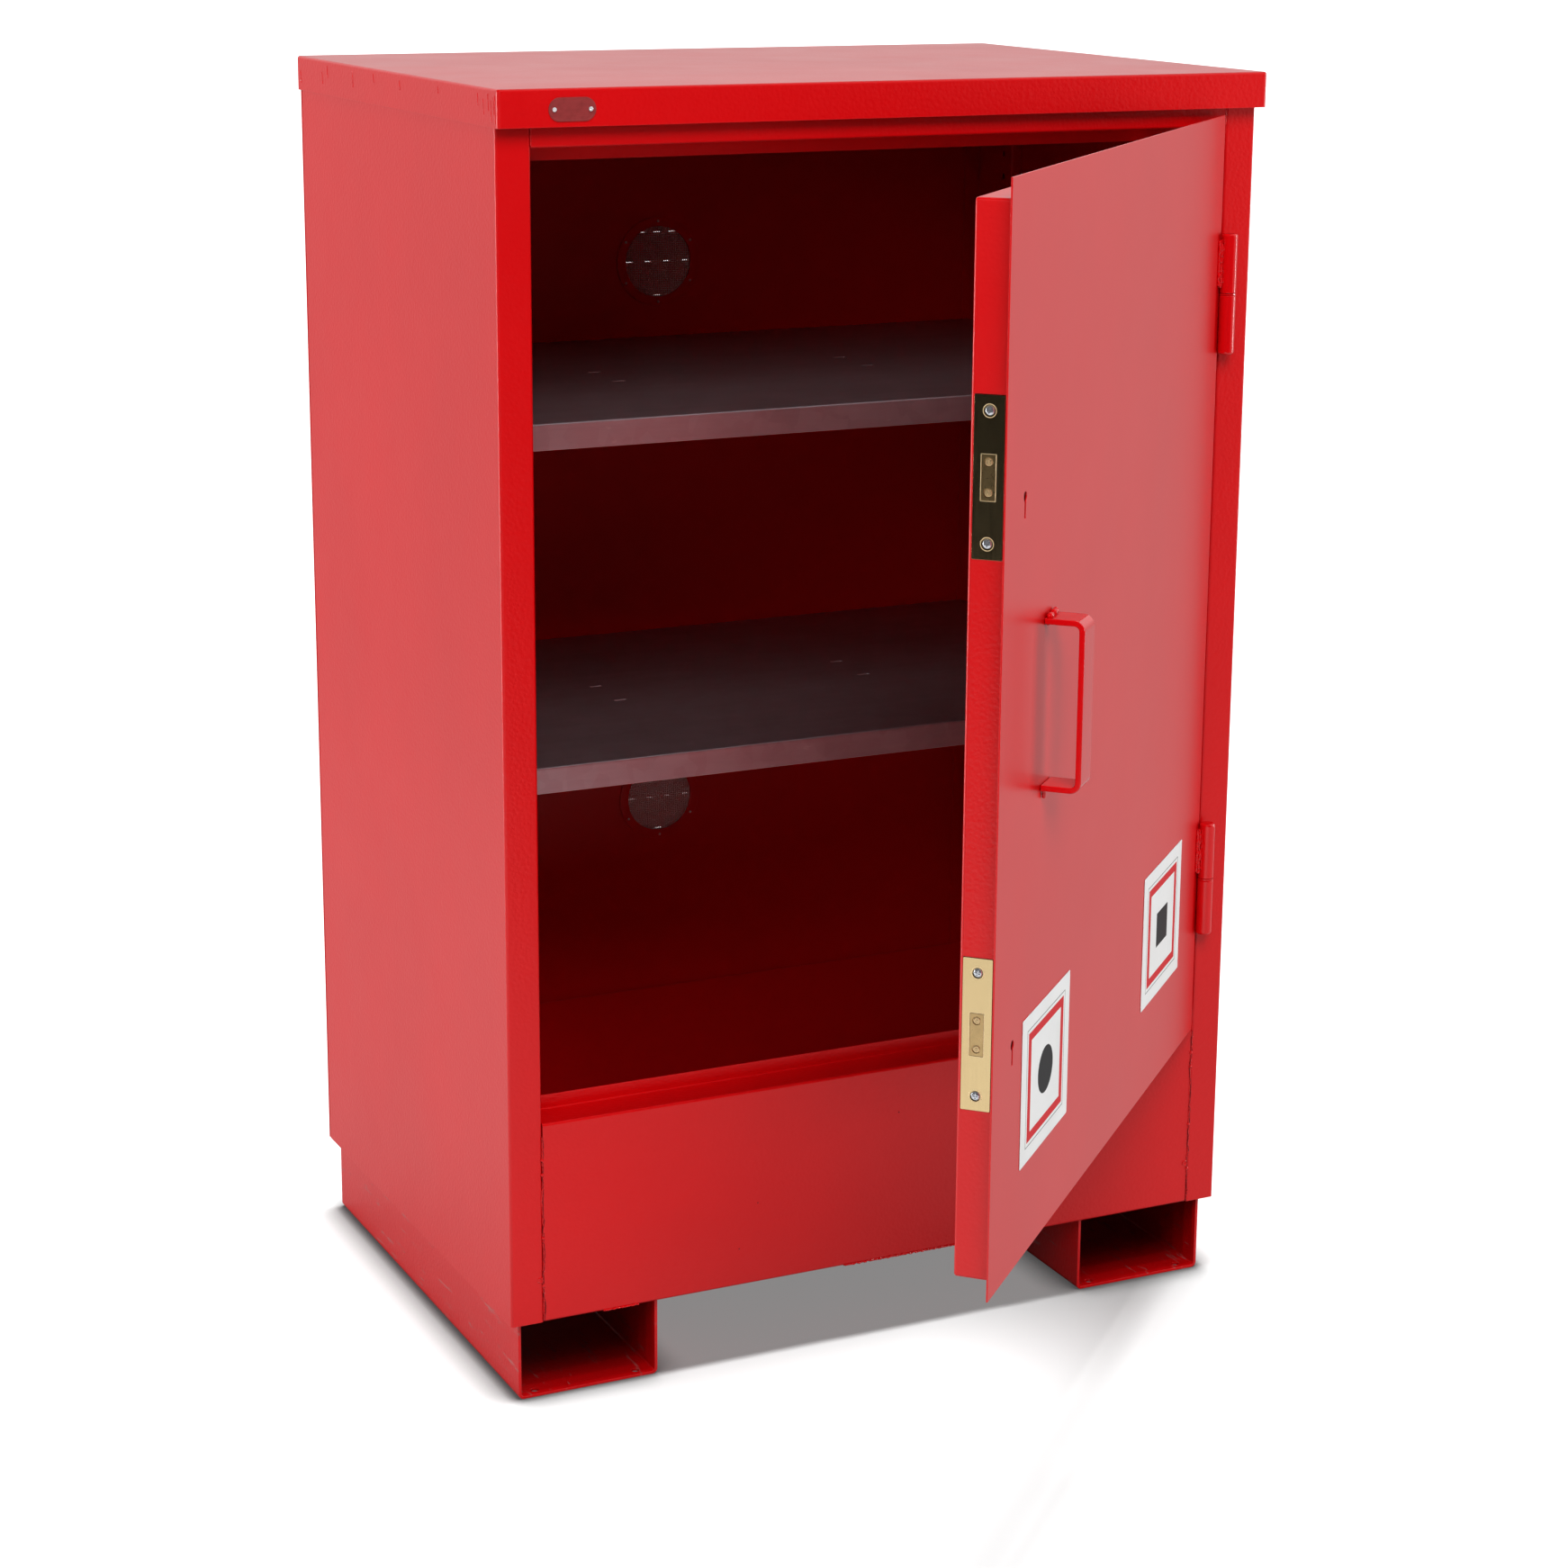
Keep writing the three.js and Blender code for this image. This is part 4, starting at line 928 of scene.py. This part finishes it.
def barrel(centre, z0, z1, closed_low):
    """A blind-bored hinge barrel with one rounded closed end."""
    length, bore, soft, blind, lip = z1 - z0, 4 * MM, 2.6 * MM, 6 * MM, 0.6 * MM
    angles = [radians(a) for a in (0, 18, 36, 54, 72, 90)]
    corner = [(KNUCKLE - soft + soft * sin(a), soft - soft * cos(a)) for a in angles]
    profile = [(0, 0), *corner, (KNUCKLE, length - lip), (KNUCKLE - lip, length), (bore, length),
               (bore, blind), (0, blind)]
    shape = lathe(profile, "Z", Vector((0, 0, 0)), 48)
    if not closed_low:
        upside_down = Matrix.Scale(-1, 4, Vector((0, 0, 1)))
        shape = moved(shape, Matrix.Translation((0, 0, length)) @ upside_down)
    return moved(shape, Matrix.Translation((centre.x, centre.y, z0)))


def hinge(level):
    """Two weld-on knuckles: the lower one on the jamb, the upper one on the door sheet."""
    centre = HINGE_POINT
    low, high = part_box(f"{level}_hinge_jamb_knuckle")
    jamb = barrel(centre, low.z, high.z, True)
    pad = block((centre.x + 2.3 * MM, centre.y + 3.4 * MM, low.z + 4 * MM),
                (centre.x + 6.4 * MM, FRONT - 0.1 * MM, high.z - 4 * MM))
    x, y = centre.x + 7.4 * MM, FRONT - 1.2 * MM
    fillet = bead([(x, y, low.z + 5 * MM), (x, y, high.z - 6 * MM)], 1.9 * MM, seed=low.z)
    add_piece(f"{level}_hinge_jamb_barrel", merged(jamb, pad), PAINT_WELD,
              [f"{level}_hinge_jamb_knuckle"], edge=0.3 * MM)
    add_piece(f"{level}_hinge_jamb_weld", fillet, PAINT_WELD, edge=0)

    low, high = closed_box(f"{level}_hinge_door_knuckle")
    face = SHUT_SHEET_LOW.y
    door = barrel(centre, low.z, high.z, False)
    pad = block((centre.x - 8.5 * MM, face - 3.4 * MM, low.z + 6 * MM),
                (centre.x - 1.5 * MM, face - 0.1 * MM, high.z - 6 * MM))
    add_door_piece(f"{level}_hinge_door_barrel", merged(door, pad), PAINT_WELD,
                   [f"{level}_hinge_door_knuckle"], edge=0.3 * MM)
    runs = []
    for k, (dx, dy, size) in enumerate(DOOR_BEADS):
        x, y = centre.x + dx * MM, face + dy * MM
        runs.append(bead([(x, y, low.z + (5 + 2 * k) * MM), (x, y, high.z - (9 - 3 * k) * MM)],
                         size * MM, seed=3.7 * k + low.z, ripple=0.25, wander=0.5))
    add_door_piece(f"{level}_hinge_door_weld", merged(*runs), PAINT_WELD, edge=0)


# ---- door ----

def keyhole(centre, low_y, high_y):
    """A round hole over a narrow slot, through the door."""
    half, radius, drop, rise = 1.9 * MM, 4.3 * MM, 14 * MM, 4 * MM
    start = degrees(asin(half / radius))
    outline = arc((centre.x, centre.z + rise), radius, -90 + start, 270 - start, 20)
    outline += [(centre.x - half, centre.z - drop), (centre.x + half, centre.z - drop)]
    return punch(outline, "Y", low_y, high_y)


def door_sheet():
    low, high = SHUT_SHEET_LOW, SHUT_SHEET_HIGH
    holes = []
    for level in LEVELS:
        a, b = closed_box(f"{level}_lock_key_curtain")
        holes.append(keyhole((a + b) / 2, low.y, high.y))
    add_door_piece("door_outer_skin", cut(block(low, high), *holes), PAINT_DOOR,
                   ["door_outer_sheet"], edge=0.45 * MM, edge_steps=3)


def door_pan():
    low, high = closed_box("door_inner_pan")
    shell = round_edges(block(low, high), lambda a, b: max(a.y, b.y) > high.y - MM, 2.8 * MM, 5)
    hollow = block((low.x + SHEET, low.y - MM, low.z + SHEET), high - Vector((SHEET,) * 3))
    hollow = round_edges(hollow, lambda a, b: max(a.y, b.y) > high.y - 2 * SHEET, 1.3 * MM)
    tools = [hollow]
    for level in LEVELS:
        a, b = closed_box(f"{level}_lock_faceplate")
        window = box_outline(a, b, "X", 0.8 * MM, 3, -GAP)
        tools.append(punch(window, "X", low.x, low.x + SHEET))
    add_door_piece("door_inner_tray", cut(shell, *tools), PAINT, ["door_inner_pan"])


def door_handle():
    """A flat bar bent into a bow and welded on by its ends."""
    low, high = closed_box("door_handle")
    bar = 5 * MM
    path = [(high.y, high.z), (low.y, high.z), (low.y, low.z), (high.y, low.z)]
    bow = prism(folded(path, bar, 4.5 * MM, 9), "X", low.x, high.x)
    add_door_piece("door_handle_bar", bow, PAINT_WELD, ["door_handle"], edge=0.9 * MM, edge_steps=3)
    face = high.y
    middle = (low.x + high.x) / 2
    under = high.z - bar - 0.6 * MM
    top = merged(
        bead([(low.x + 3 * MM, face - 2.5 * MM, high.z + 0.8 * MM),
              (middle - MM, face - 3.5 * MM, high.z + 1.6 * MM)], 3.0 * MM, 1.0, 0.3, 0.4),
        bead([(middle + MM, face - 2.2 * MM, high.z + MM),
              (high.x - 3 * MM, face - 3 * MM, high.z + 2.2 * MM)], 3.1 * MM, 5.0, 0.3, 0.4),
        bead([(low.x + 4 * MM, face - 1.4 * MM, under), (high.x - 4 * MM, face - 1.4 * MM, under)],
             1.7 * MM, 9.0))
    add_door_piece("door_handle_upper_weld", top, PAINT_WELD, edge=0)
    y, z = face - 1.6 * MM, low.z - 0.6 * MM
    bottom = merged(
        bead([(low.x + 2 * MM, y, z), (high.x - 3 * MM, y, z)], 1.9 * MM, 2.0),
        bead([(low.x + 6 * MM, face - 2.0 * MM, low.z),
              (low.x + 7 * MM, face - 1.4 * MM, low.z - 8 * MM)], 1.8 * MM, 6.0))
    add_door_piece("door_handle_lower_weld", bottom, PAINT_WELD, edge=0)


def label(node, mark):
    low, high = closed_box(node)
    sheet = prism(box_outline(low, high, "Y", 1.2 * MM, 4), "Y", low.y, high.y)
    vinyl = printed_label(f"{node}_print", low, high, mark)
    door_stand_in(node, "vinyl", sheet, vinyl, edge=0.08 * MM)


# ---- locks ----

ROLLER_RISE = 12.4 * MM  # of the bolt's two rollers over and under its middle


def screw_spot(lock, end):
    low, high = closed_box(f"{lock}_lock_{end}_screw")
    return Vector((low.x, (low.y + high.y) / 2, (low.z + high.z) / 2))


def lock_faceplate(lock):
    """The plate in the door's edge, with raised rims round its window and its two screws."""
    node = f"{lock}_lock_faceplate"
    low, high = closed_box(node)
    middle = (low + high) / 2
    outline = box_outline(low, high, "X", 0.9 * MM, 4)
    plate = prism(outline, "X", low.x, high.x)
    bolt_low, bolt_high = closed_box(f"{lock}_lock_bolt")
    window = rectangle_about(middle.y, middle.z, 5.8 * MM + GAP,
                             (bolt_high.z - bolt_low.z) / 2 + GAP, 0.5 * MM, 3)
    dish = in_mm((0, -1), (5.6, -1), (4.5, 0.1), (4.4, 1.7), (2.3, 1.7), (2.3, 4), (0, 4))
    spots = [screw_spot(lock, end) for end in ("top", "bottom")]
    spots = [Vector((low.x, spot.y, spot.z)) for spot in spots]
    tools = [punch(window, "X", low.x, high.x)] + [lathe(dish, "X", spot, 36) for spot in spots]
    door_stand_in(node, "plate", cut(plate, *tools), BRASS, edge=0.35 * MM, edge_steps=3)
    outer, inner = resized(window, middle, 1.07, 1.02), resized(window, middle, 0.99)
    rim = prism(outer, "X", low.x - 0.12 * MM, low.x + 0.3 * MM)
    rim = cut(rim, punch(inner, "X", low.x, low.x))
    add_door_piece(f"{node}_window_rim", rim, BRASS_EDGE, edge=0)
    collar = in_mm((5.0, 0.25), (5.2, -0.15), (5.7, -0.15), (5.9, 0.25), (5.0, 0.25))
    rims = [lathe(collar, "X", spot, 36) for spot in spots]
    add_door_piece(f"{node}_screw_rims", merged(*rims), BRASS_EDGE, edge=0)


def lock_screw(lock, end):
    """A pan-head screw with a cross recess."""
    spot = screw_spot(lock, end)
    profile = in_mm((0, 0.0), (1.6, 0.05), (2.9, 0.3), (3.8, 0.85), (4.1, 1.5), (4.1, 1.9),
                    (2, 1.9), (2, 9), (0, 9))
    screw = lathe(profile, "X", spot, 36)
    turn = 0.35 if end == "top" else 0.05
    reach, half = 2.3 * MM, 0.5 * MM
    tools = []
    for quarter in (0, pi / 2):
        arm = block((spot.x - MM, -reach, -half), (spot.x + 1.1 * MM, reach, half))
        spin = Matrix.Rotation(turn + quarter, 4, "X")
        tools.append(moved(arm, Matrix.Translation((0, spot.y, spot.z)) @ spin))
    door_stand_in(f"{lock}_lock_{end}_screw", "body", cut(screw, *tools), ZINC, edge=0.1 * MM)


def lock_bolt(lock):
    """The bolt, with the ends of its two hardened rollers showing in its face."""
    node, body = f"{lock}_lock_bolt", f"{lock}_bolt"
    low, high = closed_box(node)
    bolt = cad_shape(node, AS_DOOR_STANDS)
    plate_low, plate_high = closed_box(f"{lock}_lock_faceplate")
    y, z = (plate_low.y + plate_high.y) / 2, (low.z + high.z) / 2
    spots = [Vector((low.x, y, z + rise)) for rise in (-ROLLER_RISE, ROLLER_RISE)]
    wells = [prism(circle((s.y, s.z), 3.7 * MM, 32), "X", low.x - MM, low.x + 0.7 * MM)
             for s in spots]
    door_stand_in(node, "body", cut(bolt, *wells), BRASS_CAST, body, edge=0.4 * MM, edge_steps=3)
    profile = in_mm((0, 0.1), (0.9, 0.1), (1.2, 0.35), (1.5, 0.1), (2.6, 0.1), (3.2, 0.4),
                    (3.3, 0.9), (0, 0.9))
    for spot, name in zip(spots, ("lower", "upper")):
        roller = lathe(profile, "X", spot, 32)
        add_door_piece(f"{node}_{name}_roller", roller, BRASS_ROLLER, (), body, edge=0)


def lock(level):
    lock_faceplate(level)
    lock_bolt(level)
    for end in ("top", "bottom"):
        lock_screw(level, end)
    for part, finish, body in (("case", STEEL, DOOR), ("levers", BRASS_CAST, f"{level}_levers"),
                               ("key_curtain", STEEL, f"{level}_key_curtain")):
        node = f"{level}_lock_{part}"
        door_stand_in(node, "body", cad_shape(node, AS_DOOR_STANDS), finish, body, edge=0.2 * MM)


# ---- stage ----

LIGHT_DISTANCE = 4.5
LIGHT_TARGET = Vector((0, 0, 0.65))
OVERHEAD = 14.7  # irradiance of the light straight above the floor
FLOOR_GLOW = 0.24  # light the floor gives off itself, which sets its shadow's depth
BOUNCE = (0.12, 0.22)  # reflectance of the lower floor on the right and at the front left
LIGHTS = (  # azimuth, elevation, width and height, watts, only in reflections
    ("left", 125, 10, (1.8, 2.6), 140, False),
    ("front_left", 50, 24, (2.6, 2.6), 45, False),
    ("front", 10, 45, (2.4, 2.4), 165, False),
    ("right", -70, -4, (1.6, 1.6), 88, False),
    ("right_glint", -80, 5, (0.4, 2.6), 55, True),
    ("edge_glint", 122, 0, (0.5, 2.6), 90, True),
    ("rear", 200, 15, (2.4, 2.4), 60, False))
SKID_FILTERS = (6, 22, 42, 66)  # millimetres in from each end of a skid


def floor_disc(g, name, radius, top, **inputs):
    g.set(Roughness=0.9, **inputs)
    g.shader.inputs["Specular IOR Level"].default_value = 0.0
    disc = as_object(prism(circle((0, 0), radius, 64), "Z", top - 0.02, top), name)
    disc.visible_shadow = False
    coat(disc, g.material)
    return disc


def pale_floor():
    """The white floor that the camera sees, with a painted contact shadow: darker in the corners
    where the object meets it.
    """
    g = Graph("floor")
    shade = g.vary(g.noise(0.7, 2), (0.295,) * 3, (0.305,) * 3)
    # Painted contact shadow: ambient occlusion darkens the floor's colour and its glow next to the
    # object.
    corner = g.add("AmbientOcclusion", {"samples": 16}, Distance=0.045).outputs["AO"]
    corner = g.remap(corner, 0.5, 0.95, 0.30, 1.0)
    disc = floor_disc(g, "floor", 40, 0.0, Base_Color=g.dimmed(shade, corner),
                      Emission_Color=g.dimmed((1, 1, 1), corner), Emission_Strength=FLOOR_GLOW)
    disc.visible_glossy = disc.visible_diffuse = False
    return disc


def bouncing_floor():
    """A smaller floor just under it that bounces light, brightest at the front left."""
    g = Graph("floor_bounce")
    level = g.remap(g.dot(g.place, (-0.91, -0.42, 0.0)), 0.35, 0.90, *BOUNCE)
    disc = floor_disc(g, "floor_bounce", 2.8, -0.001, Base_Color=g.dimmed((1, 1, 1), level))
    disc.visible_camera = False
    return disc


def receivers(name, objects, state):
    """A light-linking collection that includes or excludes the given objects."""
    group = bpy.data.collections.new(name)
    for obj in objects:
        group.objects.link(obj)
    for entry in group.collection_objects:
        entry.light_linking.link_state = state
    return group


def add_overhead(floors):
    """A wide light straight above that only the floor receives, so the body casts its shadow."""
    data = bpy.data.lights.new("overhead", "SUN")
    data.energy = OVERHEAD
    data.angle = radians(18)
    in_scene(data).light_linking.receiver_collection = floors


def add_lights(others):
    """Area lights aimed at the cabinet's middle. Azimuth runs from the front towards the left."""
    for name, azimuth, elevation, size, power, reflected in LIGHTS:
        a, e = radians(azimuth), radians(elevation)
        towards = Vector((-sin(a) * cos(e), -cos(a) * cos(e), sin(e)))
        data = bpy.data.lights.new(name, "AREA")
        data.shape = "RECTANGLE"
        data.size, data.size_y = size
        data.energy = power
        lamp = in_scene(data)
        lamp.light_linking.receiver_collection = others
        aim = towards.to_track_quat("Z", "Y").to_matrix().to_4x4()
        lamp.matrix_world = Matrix.Translation(LIGHT_TARGET + towards * LIGHT_DISTANCE) @ aim
        lamp.visible_glossy = reflected
        lamp.visible_diffuse = not reflected


def add_filter(name, face, across, up, clear_low, clear_high, rise=0.30):
    """A grey filter standing across Y that only dims the light falling in behind it."""
    g = Graph(name)
    height = g.add("SeparateXYZ", Vector=g.place).outputs["Z"]
    level = g.remap(height, up[0], up[0] + rise, clear_low, clear_high)
    clear = g.add("BsdfTransparent", Color=g.grey(level)).outputs[0]
    g.feed(g.tree.nodes["Material Output"].inputs["Surface"], clear)
    shape = bmesh.new()
    corners = ((across[0], up[0]), (across[1], up[0]), (across[1], up[1]), (across[0], up[1]))
    shape.faces.new([shape.verts.new((x, face, z)) for x, z in corners])
    shade = as_object(shape, name)
    coat(shade, g.material)
    shade.visible_camera = shade.visible_glossy = False


def add_filters():
    """Dims the inside of the cabinet and, step by step, the insides of the skids."""
    add_filter("opening_filter", STOP + SHEET + 2 * MM, (-OPENING, OPENING),
               (SUMP_FOLD, LINTEL_FOLD), 0.95, 0.85)
    for name in ("left_skid", "right_skid"):
        low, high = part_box(name)
        across, up = (low.x + 3 * MM, high.x - 3 * MM), (low.z + 3 * MM, high.z)
        for depth in SKID_FILTERS:
            for end, face in (("front", low.y + depth * MM), ("rear", high.y - depth * MM)):
                add_filter(f"{name}_{end}_filter_{depth}", face, across, up, 0.75, 0.30, 0.08)


def add_world():
    """A room bright on the right and behind, dim on the left and in front, only in reflections."""
    world = bpy.data.worlds.new("studio")
    bpy.context.scene.world = world
    g = Nodes(world)
    g.tree.nodes.clear()
    where = g.add("TexCoord").outputs["Generated"]
    sideways = g.dot(where, (0.857, 0.514, 0.0))
    height = g.add("SeparateXYZ", Vector=where).outputs["Z"]
    level = g.times(g.remap(sideways, 0.01, 0.10, 0.02, 0.94, "SMOOTHSTEP"),
                    g.remap(height, -0.10, 0.22, 0.74, 1.45, "SMOOTHSTEP"))
    room = g.add("Background", Strength=level)
    ambient = g.add("Background", Strength=0.05)
    backdrop = g.add("Background", Color=(1, 1, 1, 1))
    ray = g.add("LightPath").outputs
    seen = ambient.outputs[0]
    for kind, source in (("Is Glossy Ray", room), ("Is Camera Ray", backdrop)):
        node = g.add("MixShader")
        for k, value in enumerate((ray[kind], seen, source.outputs[0])):
            g.feed(node.inputs[k], value)
        seen = node.outputs[0]
    g.add("OutputWorld", Surface=seen)


# ---- assembly ----

def dress_remaining_nodes():
    """CAD nodes whose shape is right as it is get a full material of their own."""
    for level in LEVELS:
        for part, (material, _) in (("pin", STEEL), ("washer", PAINT_WELD)):
            coat(frame["nodes"][f"{level}_hinge_{part}"], material)


add_camera()
side_panel(-1)
side_panel(1)
front_strips()
sump_tray()
back_panel()
top_cap()
cap_marks()
skid("left_skid")
skid("right_skid")
nibs()
body_welds()
add_shelving()
for level in LEVELS:
    vent(level)
    hinge(level)
    lock(level)
id_plate()
door_sheet()
door_pan()
door_handle()
label("free_side_label", "disc")
label("hinge_side_label", "square")
dress_remaining_nodes()
floors = (pale_floor(), bouncing_floor())
add_overhead(receivers("floors", floors, "INCLUDE"))
add_lights(receivers("all_but_floors", floors, "EXCLUDE"))
add_filters()
add_world()
bpy.context.scene.view_settings.view_transform = "Standard"

bpy.context.view_layer.update()
